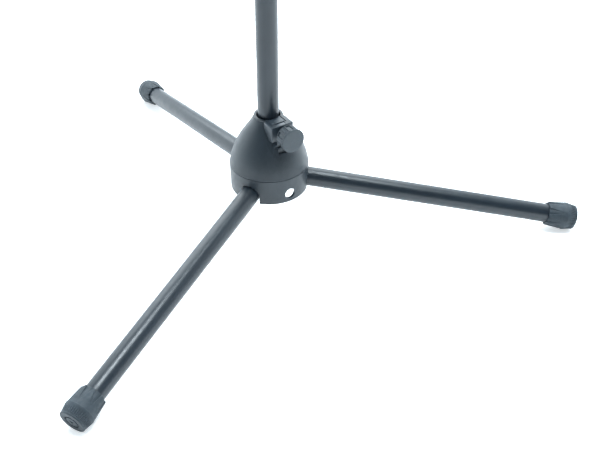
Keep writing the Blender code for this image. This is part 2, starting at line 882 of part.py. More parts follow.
def build_clutch():
    top = TUBE_TOP + CLUTCH_ABOVE
    bottom = TUBE_TOP - CLUTCH_BELOW
    outer = TUBE_R + CLUTCH_WALL
    sleeve = TUBE_R + GAP
    bore = ROD_R + RUNNING
    outline = [
        (outer - EDGE, top),
        (outer, top - EDGE),
        (outer, bottom + 2.0 * EDGE),
        (outer - EDGE, bottom),
        (sleeve, bottom),
        (sleeve, TUBE_TOP + GAP),
        (bore, TUBE_TOP + GAP),
        (bore, top),
    ]
    body = turned("clutch_body", outline, "tube_axis", Matrix.Identity(4), "black_plastic")
    frame = turned_to(CLAMP_AZIMUTH)
    boss_bottom = top - POCKET_DEPTH - HUB_WALL
    cuts = clamp_seat(
        body,
        "tube_axis",
        frame,
        ROD_R,
        top,
        boss_bottom,
        boss_bottom - CUT,
        outer / 2.0,
        "clutch",
    )
    for tool in cuts:
        cut(body, tool)
    passage = rod(
        "clutch_passage",
        (0.0, 0.0, TUBE_TOP + EDGE),
        (0.0, 0.0, top + CUT),
        bore,
        "tube_axis",
        Matrix.Identity(4),
    )
    cut(body, passage)


def build_upper_rod():
    inner_r = ROD_R - ROD_WALL
    outline = [(ROD_R, ROD_TOP), (ROD_R, ROD_BOTTOM), (inner_r, ROD_BOTTOM), (inner_r, ROD_TOP)]
    piece = turned("upper_rod", outline, "rod_axis", Matrix.Identity(4), "zinc_steel")
    cut(piece, head_pin_hole("rod_pin_hole"))
    bush_bottom = ROD_BOTTOM + EDGE
    bush_top = bush_bottom + BUSH_LENGTH
    bush = [
        (BUSH_R - GAP, bush_top),
        (BUSH_R, bush_top - EDGE),
        (BUSH_R, bush_bottom),
        (ROD_R + GAP, bush_bottom),
        (ROD_R + GAP, bush_top),
    ]
    turned("guide_bush", bush, "slider_axis", Matrix.Identity(4), "nylon")
    flange_top = ROD_BOTTOM - GAP
    plug = [
        (0.0, flange_top + ROD_PLUG_LENGTH),
        (inner_r - GAP, flange_top + ROD_PLUG_LENGTH),
        (inner_r - GAP, flange_top),
        (BUSH_R - GAP, flange_top),
        (BUSH_R - GAP, flange_top - ROD_PLUG_FLANGE),
        (0.0, flange_top - ROD_PLUG_FLANGE),
    ]
    turned("rod_plug", plug, "rod_axis", Matrix.Identity(4), "nylon")


def head_pin_hole(name):
    height = ROD_TOP - HEAD_SOCKET / 2.0
    return rod(
        name,
        (0.0, -HEAD_R - CUT, height),
        (0.0, HEAD_R + CUT, height),
        SCREW_R + GAP,
        "rod_axis",
        Matrix.Identity(4),
        steps=SMALL_STEPS,
    )


def build_head():
    """The head on the rod, with the tongue that the desk tilts on."""
    low = ROD_TOP - HEAD_SOCKET
    high = ROD_TOP + HEAD_CAP
    bore = ROD_R + GAP
    outline = [
        (0.0, high),
        (HEAD_R - EDGE, high),
        (HEAD_R, high - EDGE),
        (HEAD_R, low + EDGE),
        (HEAD_R - EDGE, low),
        (bore, low),
        (bore, ROD_TOP + GAP),
        (0.0, ROD_TOP + GAP),
    ]
    identity = Matrix.Identity(4)
    head = turned("head_block", outline, "rod_axis", identity, "black_plastic")
    foot = TILT_AXIS_HEIGHT - high + EDGE
    axis = raised(TILT_AXIS_HEIGHT)
    tongue = lug("tongue", foot, 0.0, TONGUE_R, -TONGUE_HALF, TONGUE_HALF, "rod_axis", axis)
    bolt_hole = rod(
        "head_bolt_hole",
        (-TONGUE_HALF - CUT, 0.0, TILT_AXIS_HEIGHT),
        (TONGUE_HALF + CUT, 0.0, TILT_AXIS_HEIGHT),
        CLAMP_SCREW_R + GAP,
        "rod_axis",
        identity,
        steps=SMALL_STEPS,
    )
    join(head, tongue)
    cut(head, bolt_hole)
    cut(head, head_pin_hole("head_block_pin_hole"))
    rod(
        "head_pin",
        (0.0, -HEAD_R + GAP, ROD_TOP - HEAD_SOCKET / 2.0),
        (0.0, HEAD_R - GAP, ROD_TOP - HEAD_SOCKET / 2.0),
        SCREW_R,
        "rod_axis",
        identity,
        "zinc_steel",
        SMALL_STEPS,
    )


# ---------------------------------------------------------------- desk


def ear_inside():
    return TONGUE_HALF + WASHER_THICKNESS + 2.0 * GAP


def build_tilt_clamp():
    """The washers, bolt and knob that clamp the desk's ears on the head's tongue."""
    frame = desk_frame() @ ALONG_X
    hole = CLAMP_SCREW_R + GAP
    for side, name in ((1.0, "tilt_washer_right"), (-1.0, "tilt_washer_left")):
        low, high = sorted(
            (side * (TONGUE_HALF + GAP), side * (TONGUE_HALF + GAP + WASHER_THICKNESS))
        )
        outline = [(TONGUE_R, high), (TONGUE_R, low), (hole, low), (hole, high)]
        turned(name, outline, "rod_axis", frame, "nylon")
    outside = ear_inside() + EAR_THICKNESS
    head = -outside - GAP
    knob_shift = outside + RUNNING + GAP - KNOB_START
    bolt_end = knob_shift + KNOB_END - KNOB_SOLID_END - GAP
    outline = [
        (0.0, bolt_end),
        (CLAMP_SCREW_R, bolt_end),
        (CLAMP_SCREW_R, head),
        (BOLT_HEAD_R, head),
        (BOLT_HEAD_R, head - BOLT_HEAD + EDGE),
        (BOLT_HEAD_R - EDGE, head - BOLT_HEAD),
        (0.0, head - BOLT_HEAD),
    ]
    turned("tilt_bolt", outline, "desk_axis", frame, "zinc_steel", SMALL_STEPS)
    knob_frame = frame @ Matrix.Translation((0.0, 0.0, knob_shift))
    knob("tilt_knob", "tilt_knob_axis", knob_frame, 0.0)


def rivet_row(name, spots, sheet_back, pivot, frame):
    """One rivet at each (x, z) spot, through the desk's front sheet and what lies
    behind it, as far back as sheet_back."""
    outline = [
        (0.0, DESK_FRONT + RIVET_HEAD),
        (RIVET_HEAD_R - EDGE, DESK_FRONT + RIVET_HEAD),
        (RIVET_HEAD_R, DESK_FRONT + GAP),
        (RIVET_R, DESK_FRONT + GAP),
        (RIVET_R, -sheet_back - GAP),
        (RIVET_TAIL_R, -sheet_back - GAP),
        (RIVET_TAIL_R - EDGE, -sheet_back - RIVET_TAIL),
        (0.0, -sheet_back - RIVET_TAIL),
    ]
    for index, (x, z) in enumerate(spots, 1):
        spot = frame @ Matrix.Translation((x, 0.0, z)) @ ALONG_MINUS_Y
        turned(f"{name}_{index}", outline, pivot, spot, "zinc_steel", SMALL_STEPS)


def rivet_holes(name, spots):
    def fill(bm):
        for x, z in spots:
            front = (x, -DESK_FRONT - CUT, z)
            back = (x, -DESK_FRONT + CUT, z)
            add_rod(bm, front, back, RIVET_R + GAP, SMALL_STEPS)

    return from_shapes(name, fill, "desk_axis", desk_frame())


def open_sheet(name, points_by_row, look):
    """A bent sheet: rows of points joined by faces, thickened both ways."""
    mesh = bpy.data.meshes.new(name)
    bm = bmesh.new()
    rows = [[bm.verts.new(point) for point in row] for row in points_by_row]
    for first, second in zip(rows, rows[1:]):
        for a, b, c, d in zip(first, first[1:], second[1:], second):
            bm.faces.new((a, b, c, d))
    bm.to_mesh(mesh)
    bm.free()
    piece = add(name, mesh, "desk_axis", desk_frame(), look)
    solidify = piece.modifiers.new("thickness", "SOLIDIFY")
    solidify.thickness = SHEET
    solidify.offset = 0.0
    solidify.use_even_offset = True
    return piece


def build_desk():
    half = DESK_WIDTH / 2.0
    skin = -DESK_FRONT + SHEET / 2.0
    rim_back = -DESK_FRONT + DESK_RIM
    aside = BRACKET_HALF_WIDTH - BRACKET_RIVET_INSET
    above = BRACKET_HALF_HEIGHT - BRACKET_RIVET_INSET
    bracket_spots = [(x, z) for x in (-aside, aside) for z in (-above, above)]
    ledge_height = -DESK_BELOW + LEDGE_FLANGE / 2.0
    ledge_reach = half - LEDGE_RIVET_INSET
    ledge_spots = [(x, ledge_height) for x in (-ledge_reach, 0.0, ledge_reach)]
    bracket_holes = rivet_holes("bracket_rivet_holes", bracket_spots)
    ledge_holes = rivet_holes("ledge_rivet_holes", ledge_spots)

    mesh = bpy.data.meshes.new("desk_panel")
    bm = bmesh.new()
    middle = SHEET / 2.0
    add_box(bm, (-half + middle, skin, -DESK_BELOW), (half - middle, rim_back, DESK_ABOVE - middle))
    unwanted = [face for face in bm.faces if face.normal.y > 0.5 or face.normal.z < -0.5]
    bmesh.ops.delete(bm, geom=unwanted, context="FACES")
    bm.to_mesh(mesh)
    bm.free()
    panel = add("desk_panel", mesh, "desk_axis", desk_frame(), "desk_paint")
    soften(panel, FOLD_R)
    shell = panel.modifiers.new("thickness", "SOLIDIFY")
    shell.thickness = SHEET
    shell.offset = 0.0
    shell.use_even_offset = True
    cut(panel, bracket_holes)
    cut(panel, ledge_holes)

    ledge_half = half - FOLD_R - SHEET
    flange = skin + SHEET + GAP
    floor = -DESK_BELOW - GAP - SHEET / 2.0
    lip = -DESK_FRONT - LEDGE_DEPTH
    line = [
        (flange, floor + LEDGE_FLANGE),
        (flange, floor),
        (lip + EDGE, floor),
        (lip, floor + EDGE),
        (lip, floor + LEDGE_LIP),
    ]
    rows = [[(x, y, z) for y, z in line] for x in (-ledge_half, ledge_half)]
    ledge = open_sheet("desk_ledge", rows, "desk_paint")
    cut(ledge, ledge_holes)

    plate_front = -DESK_FRONT + SHEET + GAP
    plate_back = plate_front + BRACKET_THICKNESS
    frame = desk_frame()
    bracket = box(
        "desk_bracket",
        (-BRACKET_HALF_WIDTH, plate_front, -BRACKET_HALF_HEIGHT),
        (BRACKET_HALF_WIDTH, plate_back, BRACKET_HALF_HEIGHT),
        "desk_axis",
        frame,
        "desk_paint",
    )
    for side, name in ((1.0, "right"), (-1.0, "left")):
        near, far = sorted((side * ear_inside(), side * (ear_inside() + EAR_THICKNESS)))
        foot = EDGE - plate_back
        ear = lug(f"ear_{name}", foot, -90.0, EAR_R, near, far, "desk_axis", frame)
        join(bracket, ear)
    reach = ear_inside() + EAR_THICKNESS + EDGE
    bolt_hole = rod(
        "ear_bolt_hole",
        (-reach, 0.0, 0.0),
        (reach, 0.0, 0.0),
        CLAMP_SCREW_R + GAP,
        "desk_axis",
        frame,
        steps=SMALL_STEPS,
    )
    cut(bracket, bolt_hole)
    cut(bracket, bracket_holes)
    rivet_row("bracket_rivet", bracket_spots, plate_back, "desk_axis", frame)
    rivet_row("ledge_rivet", ledge_spots, flange + SHEET / 2.0, "desk_axis", frame)


# ---------------------------------------------------------------- assembly


def add_pivots():
    add_pivot("stand_axis", Matrix.Identity(4))
    for index, azimuth in enumerate(LEG_AZIMUTHS, 1):
        spot = Matrix.Translation((PIVOT_DISTANCE, 0.0, 0.0))
        add_pivot(f"leg_{index}_pivot", leg_frame(azimuth) @ spot)
    add_pivot("tube_axis", hub_frame())
    for prefix, tube_r, top in clamps():
        axis = turned_to(CLAMP_AZIMUTH, top - CLAMP_DROP)
        add_pivot(f"{prefix}_clamp", axis)
        add_pivot(f"{prefix}_knob_axis", axis @ Matrix.Translation((tube_r, 0.0, 0.0)))
    add_pivot("slider_axis", raised(ROD_BOTTOM))
    add_pivot("rod_axis", raised(ROD_BOTTOM))
    add_pivot("desk_axis", desk_frame())
    add_pivot("tilt_knob_axis", desk_frame())


def clamps():
    """Each clamp's name, the radius of the tube it holds and the height of its top."""
    return (
        ("base", TUBE_R, LEG_POINT_HEIGHT + HUB_TOP),
        ("clutch", ROD_R, TUBE_TOP + CLUTCH_ABOVE),
    )


def settle(piece):
    """Applies a finished piece's modifiers and shades its round faces smooth."""
    evaluated = piece.evaluated_get(bpy.context.evaluated_depsgraph_get())
    mesh = bpy.data.meshes.new_from_object(evaluated)
    mesh.name = piece.name
    mesh.shade_smooth()
    mesh.set_sharp_from_angle(angle=SHARP)
    return mesh


def settle_all():
    pieces = [piece for piece in parts.objects if piece.type == "MESH"]
    meshes = [settle(piece) for piece in pieces]
    for piece, mesh in zip(pieces, meshes):
        piece.modifiers.clear()
        piece.data = mesh
    return pieces


def centre_under_origin(pieces):
    """Moves the stand so that the middle of its outer box is on the origin."""
    bpy.context.view_layer.update()
    corners = [piece.matrix_world @ vertex.co for piece in pieces for vertex in piece.data.vertices]
    for axis in range(2):
        low = min(corner[axis] for corner in corners)
        high = max(corner[axis] for corner in corners)
        pivots["stand_axis"].location[axis] = -(low + high) / 2.0
    bpy.context.view_layer.update()


add_pivots()
build_dome()
build_ring()
build_hub_fasteners()
for number, heading in enumerate(LEG_AZIMUTHS, 1):
    build_leg(number, heading)
build_lower_tube()
build_clutch()
for clamp_name, held_r, clamp_top in clamps():
    nut_holder = "stand_axis" if clamp_name == "base" else "tube_axis"
    build_clamp(clamp_name, CLAMP_AZIMUTH, held_r, clamp_top, nut_holder)
build_upper_rod()
build_head()
build_tilt_clamp()
build_desk()
centre_under_origin(settle_all())
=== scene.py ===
"""The looks of the folding music stand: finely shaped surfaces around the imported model,
powder coat, plastic, rubber and steel, and a bright studio."""

import json
import math

import bmesh
import bpy
from mathutils import Matrix, Vector


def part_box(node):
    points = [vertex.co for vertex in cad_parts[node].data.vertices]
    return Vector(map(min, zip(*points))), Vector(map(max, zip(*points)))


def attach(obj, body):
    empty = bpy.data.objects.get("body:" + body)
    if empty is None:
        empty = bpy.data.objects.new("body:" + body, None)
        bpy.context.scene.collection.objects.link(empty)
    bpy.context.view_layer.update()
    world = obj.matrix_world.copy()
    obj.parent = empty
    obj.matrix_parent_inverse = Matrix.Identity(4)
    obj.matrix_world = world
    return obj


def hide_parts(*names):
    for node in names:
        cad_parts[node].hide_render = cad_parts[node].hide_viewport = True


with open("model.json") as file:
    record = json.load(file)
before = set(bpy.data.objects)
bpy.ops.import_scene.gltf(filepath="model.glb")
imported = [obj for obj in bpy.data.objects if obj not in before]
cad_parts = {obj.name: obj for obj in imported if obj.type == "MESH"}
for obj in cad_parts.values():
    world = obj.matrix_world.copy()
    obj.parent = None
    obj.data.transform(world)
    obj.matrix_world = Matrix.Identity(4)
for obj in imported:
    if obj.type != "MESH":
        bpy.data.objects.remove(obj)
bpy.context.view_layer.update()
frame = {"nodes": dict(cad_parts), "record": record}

MM = 0.001
joints = {joint["name"]: joint for joint in frame["record"]["behaviour"]["joints"]}

# ---------------------------------------------------------------- places from the frame

tube_low, tube_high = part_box("lower_tube")
AXIS = Vector(((tube_low.x + tube_high.x) / 2.0, (tube_low.y + tube_high.y) / 2.0, 0.0))
TUBE_R = (tube_high.y - tube_low.y) / 2.0
rod_low, rod_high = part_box("upper_rod")
ROD_R = (rod_high.y - rod_low.y) / 2.0

first_fold = joints["leg_1_fold"]
SLOPE = math.radians(90.0 - first_fold["range_deg"][1])
first_pin = Vector(first_fold["pos_m"])
PIVOT_REACH = (first_pin - AXIS).xy.length
LEG_POINT = AXIS + Vector((0.0, 0.0, first_pin.z + PIVOT_REACH * math.tan(SLOPE)))
clamp_out = Vector(joints["base_clamp_release"]["axis"])
CLAMP_TURN = math.atan2(clamp_out.y, clamp_out.x)
tilt_axis = Vector(joints["desk_tilt"]["pos_m"])
DESK_TILT = -math.radians(joints["desk_tilt"]["range_deg"][0])

ALONG_X = Matrix.Rotation(math.pi / 2.0, 4, "Y")
ALONG_MINUS_Y = Matrix.Rotation(math.pi / 2.0, 4, "X")


def turned_to(turn, height):
    """A frame on the column's axis whose X points to an azimuth in radians."""
    return Matrix.Translation(AXIS + Vector((0.0, 0.0, height))) @ Matrix.Rotation(turn, 4, "Z")


def hub_frame(turn=0.0):
    return turned_to(turn, LEG_POINT.z)


def leg_turn(index):
    pin = Vector(joints[f"leg_{index}_fold"]["pos_m"]) - AXIS
    return math.atan2(pin.y, pin.x)


def leg_frame(index):
    return hub_frame(leg_turn(index)) @ Matrix.Rotation(SLOPE, 4, "Y")


def desk_frame():
    return Matrix.Translation(tilt_axis) @ Matrix.Rotation(-DESK_TILT, 4, "X")


# ---------------------------------------------------------------- sizes, as in the CAD

LEG_R = 10.3 * MM
LEG_LENGTH = 343.0 * MM
TUBE_START = 37.0 * MM
LEG_WALL = 1.2 * MM
TUBE_WALL = 1.2 * MM
ROD_WALL = 1.0 * MM

FOOT_LENGTH = 31.9 * MM
FOOT_MOUTH_R = 12.9 * MM
FOOT_SEAM_R = 15.2 * MM
FOOT_END_R = 13.2 * MM
FOOT_SEAM = 12.0 * MM
FOOT_END_WALL = 4.7 * MM
FOOT_RIBS = 44
FOOT_RIB_DEPTH = 0.55 * MM
FOOT_RIB_RUN_IN = 3.5 * MM
FOOT_RIB_RUN_OUT = 0.6 * MM
FOOT_LOBES = 8
FOOT_WEDGE_DEPTH = 1.35 * MM
FOOT_WEDGE_HALF = math.radians(18.0)
FOOT_WEDGE_EDGE = math.radians(1.6)
FOOT_WEDGE_CROWN = 0.62

# Hub heights are from the legs' level, and radii from the column's axis.
SEAM = 12.4 * MM
SEAM_R = 41.8 * MM
RING_BOTTOM = -16.4 * MM
RING_BOTTOM_R = 41.2 * MM
HUB_TOP = 68.8 * MM
COLLAR_R = 15.2 * MM
COLLAR_BORE_R = 12.2 * MM
HUB_WALL = 3.0 * MM
NECK_BOTTOM = 54.0 * MM
DOME_SHOULDER = (0.186, 0.541)
DOME_NECK = (0.833, 0.776)
DOME_STEPS = 40
PIN_R = 2.8 * MM
CHEEK_IN = LEG_R + 1.4 * MM
CHEEK_OUT = CHEEK_IN + HUB_WALL
POST_REACH = 31.0 * MM
POST_R = 4.0 * MM
POST_CLEARANCE = 1.2 * MM
POST_TURN = math.asin((CHEEK_OUT + POST_CLEARANCE + POST_R) / POST_REACH)
POST_BOTTOM = 8.3 * MM
POST_TOP = 30.5 * MM
SCREW_R = 1.5 * MM
SCREW_HOLE_TOP = 25.0 * MM
WINDOW_R = 6.0 * MM
WINDOW_HEIGHT = -6.1 * MM

# The clamp's fronts and lengths are measured outward from the tube that it holds.
CLAMP_DROP = 8.0 * MM
BOSS_HALF = 12.8 * MM
BOSS_FRONT = 16.1 * MM
SEAT_DEPTH = 7.0 * MM
SEAT_HALF = 6.7 * MM
SEAT_BOTTOM = 42.0 * MM
STEP_DEPTH = 6.0 * MM
STEP_HALF = 6.2 * MM
STEP_BOTTOM = 36.2 * MM
STEP_TOP = 43.0 * MM
STEP_FRONT = 19.5 * MM
FACE_BOTTOM = 44.8 * MM
RECESS_HALF = 7.2 * MM
RECESS_BOTTOM = 39.2 * MM
RECESS_TOP = 46.0 * MM
RECESS_FRONT = 18.5 * MM
POCKET_DEPTH = 13.8 * MM
POCKET_HALF = 8.2 * MM
POCKET_LENGTH = 10.4 * MM
NUT_POCKET_HALF = 5.3 * MM
NUT_POCKET_END = 14.5 * MM
SHOE_LENGTH = 8.8 * MM
CLAMP_SCREW_R = 2.9 * MM

KNOB_R = 12.8 * MM
KNOB_START = 17.6 * MM
KNOB_BODY_START = 23.4 * MM
KNOB_END = 36.6 * MM
KNOB_SOLID_END = 6.7 * MM
KNOB_NECK_R = 7.0 * MM
KNOB_INSET = 0.7 * MM
KNOB_RECESSES = 6
KNOB_GRIP_DEPTH = 1.25 * MM
KNOB_GRIP_HALF = math.radians(13.0)
KNOB_GRIP_EDGE = math.radians(2.0)
KNOB_LINE_DEPTH = 0.45 * MM
KNOB_LINE_HALF = math.radians(2.2)
KNOB_LINE_EDGE = math.radians(1.2)
KNOB_LINE_OFF = math.radians(20.0)
KNOB_STEPS = 288

CLUTCH_R = 14.5 * MM
CLUTCH_BELOW = 30.0 * MM
CLUTCH_ABOVE = 36.0 * MM

HEAD_R = 12.0 * MM
HEAD_SOCKET = 28.0 * MM
TONGUE_HALF = 5.0 * MM
TONGUE_R = 9.0 * MM
EAR_INSIDE = 6.8 * MM
EAR_THICKNESS = 2.5 * MM
EAR_R = 10.0 * MM
DESK_HALF = 240.0 * MM
DESK_BELOW = 110.0 * MM
DESK_ABOVE = 210.0 * MM
DESK_FRONT = 24.0 * MM
DESK_RIM = 12.0 * MM
SHEET = 1.2 * MM
LEDGE_DEPTH = 52.0 * MM
LEDGE_LIP = 15.0 * MM
LEDGE_FLANGE = 20.0 * MM
PLATE_THICKNESS = 2.0 * MM
RIVET_R = 2.0 * MM
BRACKET_RIVETS = (20.0 * MM, 25.0 * MM)
LEDGE_RIVETS = 180.0 * MM
PLATE_HALF = (30.0 * MM, 35.0 * MM)

GAP = 0.3 * MM
RUNNING = 0.4 * MM
CUT = 10.0 * MM
TUBE_STEPS = 96
HUB_STEPS = 180

CAMERA_AZIMUTH = math.radians(-0.9673)
CAMERA_ELEVATION = math.radians(38.0322)
CAMERA_ROLL = math.radians(0.2788)
CAMERA_LENS = 56.731
CAMERA_RIGHT = 33.00 * MM
CAMERA_DOWN = 72.06 * MM
CAMERA_BACK = 1008.39 * MM

DIM_SIDE = (0.10, -0.85, 0.52)
SKY_COLOUR = (0.82, 0.925, 1.0, 1.0)
SKY_BRIGHT = 1.30
SKY_DIM = 0.21
LIGHT_AIM = (0.0, 0.0, 0.10)

# ---------------------------------------------------------------- mesh tools


def rounded(corners, pieces=5):
    """An outline whose corners are arcs. A corner is (radius, height, size of round)."""
    outline = []
    last = len(corners) - 1
    for index, (radius, height, size) in enumerate(corners):
        here = Vector((radius, height))
        if size <= 0.0 or index in (0, last):
            outline.append(here)
            continue
        before = Vector(corners[index - 1][:2]) - here
        after = Vector(corners[index + 1][:2]) - here
        reach = min(size, 0.49 * before.length, 0.49 * after.length)
        start = here + reach * before.normalized()
        end = here + reach * after.normalized()
        for step in range(pieces + 1):
            share = step / pieces
            rest = 1.0 - share
            outline.append(rest * rest * start + 2.0 * rest * share * here + share * share * end)
    return outline


def dense(outline, spacing):
    """The same outline with points no further apart than spacing."""
    points = [outline[0]]
    for before, after in zip(outline, outline[1:]):
        count = max(1, math.ceil((after - before).length / spacing))
        points += [before.lerp(after, (step + 1) / count) for step in range(count)]
    return points


def new_piece(name, bm, matrix):
    mesh = bpy.data.meshes.new(name)
    bm.to_mesh(mesh)
    bm.free()
    piece = bpy.data.objects.new(name, mesh)
    bpy.context.scene.collection.objects.link(piece)
    piece.matrix_world = matrix
    return piece


def lathe(name, outline, steps, matrix, shape=None):
    """Turns an outline about Z. It runs down the outer side. It closes on itself unless
    it starts and ends on the axis. shape(radius, height, angle) gives a new radius."""
    bm = bmesh.new()
    rings = []
    for point in outline:
        radius, height = point[0], point[1]
        if radius < 1e-7:
            rings.append([bm.verts.new((0.0, 0.0, height))] * steps)
            continue
        ring = []
        for step in range(steps):
            angle = 2.0 * math.pi * step / steps
            reach = shape(radius, height, angle) if shape else radius
            ring.append(bm.verts.new((reach * math.cos(angle), reach * math.sin(angle), height)))
        rings.append(ring)
    pairs = list(zip(rings, rings[1:]))
    if outline[0][0] > 1e-7:
        pairs.append((rings[-1], rings[0]))
    for upper, lower in pairs:
        for step in range(steps):
            after = (step + 1) % steps
            corners = [upper[step], lower[step], lower[after], upper[after]]
            unique = [v for i, v in enumerate(corners) if v not in corners[:i]]
            if len(unique) > 2:
                bm.faces.new(unique)
    return new_piece(name, bm, matrix)


def add_box(bm, low, high):
    size = Vector(high) - Vector(low)
    middle = (Vector(high) + Vector(low)) / 2.0
    matrix = Matrix.Translation(middle) @ Matrix.Diagonal((*size, 1.0))
    bmesh.ops.create_cube(bm, size=1.0, matrix=matrix)


def block(name, low, high, matrix, soft=0.0, segments=3):
    """A block with rounded edges."""
    bm = bmesh.new()
    add_box(bm, low, high)
    if soft:
        bmesh.ops.bevel(
            bm,
            geom=list(bm.edges),
            offset=soft,
            offset_type="OFFSET",
            segments=segments,
            profile=0.5,
            affect="EDGES",
        )
    return new_piece(name, bm, matrix)


def add_bar(bm, start, end, radius, end_radius=None, steps=64):
    start, end = Vector(start), Vector(end)
    along = end - start
    turn = along.to_track_quat("Z", "Y").to_matrix().to_4x4()
    bmesh.ops.create_cone(
        bm,
        cap_ends=True,
        segments=steps,
        radius1=radius,
        radius2=end_radius or radius,
        depth=along.length,
        matrix=Matrix.Translation((start + end) / 2.0) @ turn,
    )


def bar(name, start, end, radius, matrix, end_radius=None, steps=64):
    bm = bmesh.new()
    add_bar(bm, start, end, radius, end_radius, steps)
    return new_piece(name, bm, matrix)


def combine(piece, tool, operation):
    """Joins or cuts a piece with a tool, which is used up."""
    boolean = piece.modifiers.new("boolean", "BOOLEAN")
    boolean.solver = "EXACT"
    boolean.operation = operation
    boolean.object = tool
    settle(piece)
    bpy.data.objects.remove(tool, do_unlink=True)


def join(piece, tool):
    combine(piece, tool, "UNION")


def cut(piece, tool):
    combine(piece, tool, "DIFFERENCE")


def settle(piece):
    """Applies the piece's modifiers."""
    bpy.context.view_layer.update()
    evaluated = piece.evaluated_get(bpy.context.evaluated_depsgraph_get())
    mesh = bpy.data.meshes.new_from_object(evaluated)
    mesh.name = piece.name
    piece.modifiers.clear()
    piece.data = mesh


def smooth(piece, angle=35.0):
    piece.data.shade_smooth()
    piece.data.set_sharp_from_angle(angle=math.radians(angle))


# ---------------------------------------------------------------- materials


class Look:
    """A node material in the making, in object space, so that it moves with its piece."""

    def __init__(self, name, colour, roughness, metallic=0.0, specular=0.5):
        self.material = bpy.data.materials.new(name)
        self.material.use_nodes = True
        self.nodes = self.material.node_tree.nodes
        self.links = self.material.node_tree.links
        self.shader = self.nodes["Principled BSDF"]
        self.shader.inputs["Metallic"].default_value = metallic
        self.shader.inputs["Specular IOR Level"].default_value = specular
        self.colour = colour
        self.roughness = roughness
        self.place = self.nodes.new("ShaderNodeTexCoord").outputs["Object"]

    def mapped(self, scale):
        mapping = self.nodes.new("ShaderNodeMapping")
        mapping.inputs["Scale"].default_value = scale
        self.links.new(self.place, mapping.inputs["Vector"])
        return mapping.outputs["Vector"]

    def noise(self, scale, detail=2.0, vector=None, rough=0.5):
        noise = self.nodes.new("ShaderNodeTexNoise")
        noise.inputs["Scale"].default_value = scale
        noise.inputs["Detail"].default_value = detail
        noise.inputs["Roughness"].default_value = rough
        self.links.new(vector or self.place, noise.inputs["Vector"])
        return noise.outputs["Fac"]

    def ranged(self, value, low, high, start=0.3, end=0.7):
        spread = self.nodes.new("ShaderNodeMapRange")
        spread.inputs["From Min"].default_value = start
        spread.inputs["From Max"].default_value = end
        spread.inputs["To Min"].default_value = low
        spread.inputs["To Max"].default_value = high
        self.links.new(value, spread.inputs["Value"])
        return spread.outputs["Result"]

    def mixed(self, share, first, second):
        mix = self.nodes.new("ShaderNodeMix")
        mix.data_type = "RGBA"
        for socket, colour in ((mix.inputs[6], first), (mix.inputs[7], second)):
            if isinstance(colour, tuple):
                socket.default_value = (*colour, 1.0)
            else:
                self.links.new(colour, socket)
        self.links.new(share, mix.inputs[0])
        return mix.outputs[2]

    def edges(self, low=0.52, high=0.60):
        """How much a spot is on an outer edge."""
        geometry = self.nodes.new("ShaderNodeNewGeometry")
        return self.ranged(geometry.outputs["Pointiness"], 0.0, 1.0, low, high)

    def bump(self, height, strength, distance, normal=None):
        bump = self.nodes.new("ShaderNodeBump")
        bump.inputs["Strength"].default_value = strength
        bump.inputs["Distance"].default_value = distance
        self.links.new(height, bump.inputs["Height"])
        if normal:
            self.links.new(normal, bump.inputs["Normal"])
        return bump.outputs["Normal"]

    def done(self, colour, roughness, normal):
        self.links.new(colour, self.shader.inputs["Base Color"])
        self.links.new(roughness, self.shader.inputs["Roughness"])
        self.links.new(normal, self.shader.inputs["Normal"])
        return self.material


def shade(colour, factor):
    """A colour made darker or lighter."""
    return tuple(min(1.0, part * factor) for part in colour)


def powder_coat(name, colour, roughness, peel=0.12, edged=True):
    """Satin powder coat: orange peel, fine grain, slight clouding and, if edged, lighter worn
    edges. A large flat sheet has too few points for its edges to be found."""
    look = Look(name, colour, roughness)
    cloud = look.ranged(look.noise(22.0, 3.0), 0.0, 1.0)
    base = look.mixed(cloud, shade(colour, 0.88), shade(colour, 1.14))
    worn = look.mixed(look.edges(), base, shade(colour, 2.2)) if edged else base
    grain = look.noise(2600.0, 2.0)
    soft = look.noise(650.0, 2.0)
    rough = look.ranged(look.noise(140.0, 4.0), roughness - 0.05, roughness + 0.06)
    fine = look.bump(grain, 0.10, 0.00005)
    return look.done(worn, rough, look.bump(soft, peel, 0.00012, fine))


def moulded(name, colour, roughness, grain_size=1500.0, strength=0.25):
    """Moulded plastic with the fine spark-eroded grain of its tool."""
    look = Look(name, colour, roughness)
    cloud = look.ranged(look.noise(30.0, 3.0), 0.0, 1.0)
    base = look.mixed(cloud, shade(colour, 0.90), shade(colour, 1.12))
    edged = look.mixed(look.edges(0.53, 0.64), base, shade(colour, 1.8))
    rough = look.ranged(look.noise(400.0, 3.0), roughness - 0.06, roughness + 0.08)
    normal = look.bump(look.noise(grain_size, 3.0, rough=0.6), strength, 0.00008)
    return look.done(edged, rough, normal)


def rubber(name, colour):
    """Matt moulded rubber with a dusty bloom."""
    look = Look(name, colour, 0.62, specular=0.45)
    dust = look.ranged(look.noise(60.0, 5.0, rough=0.65), 0.0, 1.0, 0.42, 0.75)
    base = look.mixed(dust, colour, shade(colour, 1.45))
    edged = look.mixed(look.edges(0.53, 0.62), base, shade(colour, 2.0))
    rough = look.ranged(look.noise(300.0, 4.0), 0.52, 0.74)
    normal = look.bump(look.noise(1800.0, 3.0), 0.22, 0.00008)
    return look.done(edged, rough, normal)


def plated(name, colour, roughness):
    """Plated steel, drawn along Z, with faint lines and slight stains."""
    look = Look(name, colour, roughness, metallic=1.0)
    lines = look.noise(1.0, 3.0, look.mapped((2200.0, 2200.0, 40.0)))
    stain = look.ranged(look.noise(45.0, 4.0), 0.0, 1.0, 0.35, 0.7)
    base = look.mixed(stain, shade(colour, 0.86), colour)
    rough = look.ranged(look.noise(120.0, 4.0), roughness - 0.07, roughness + 0.10)
    return look.done(base, rough, look.bump(lines, 0.08, 0.00004))


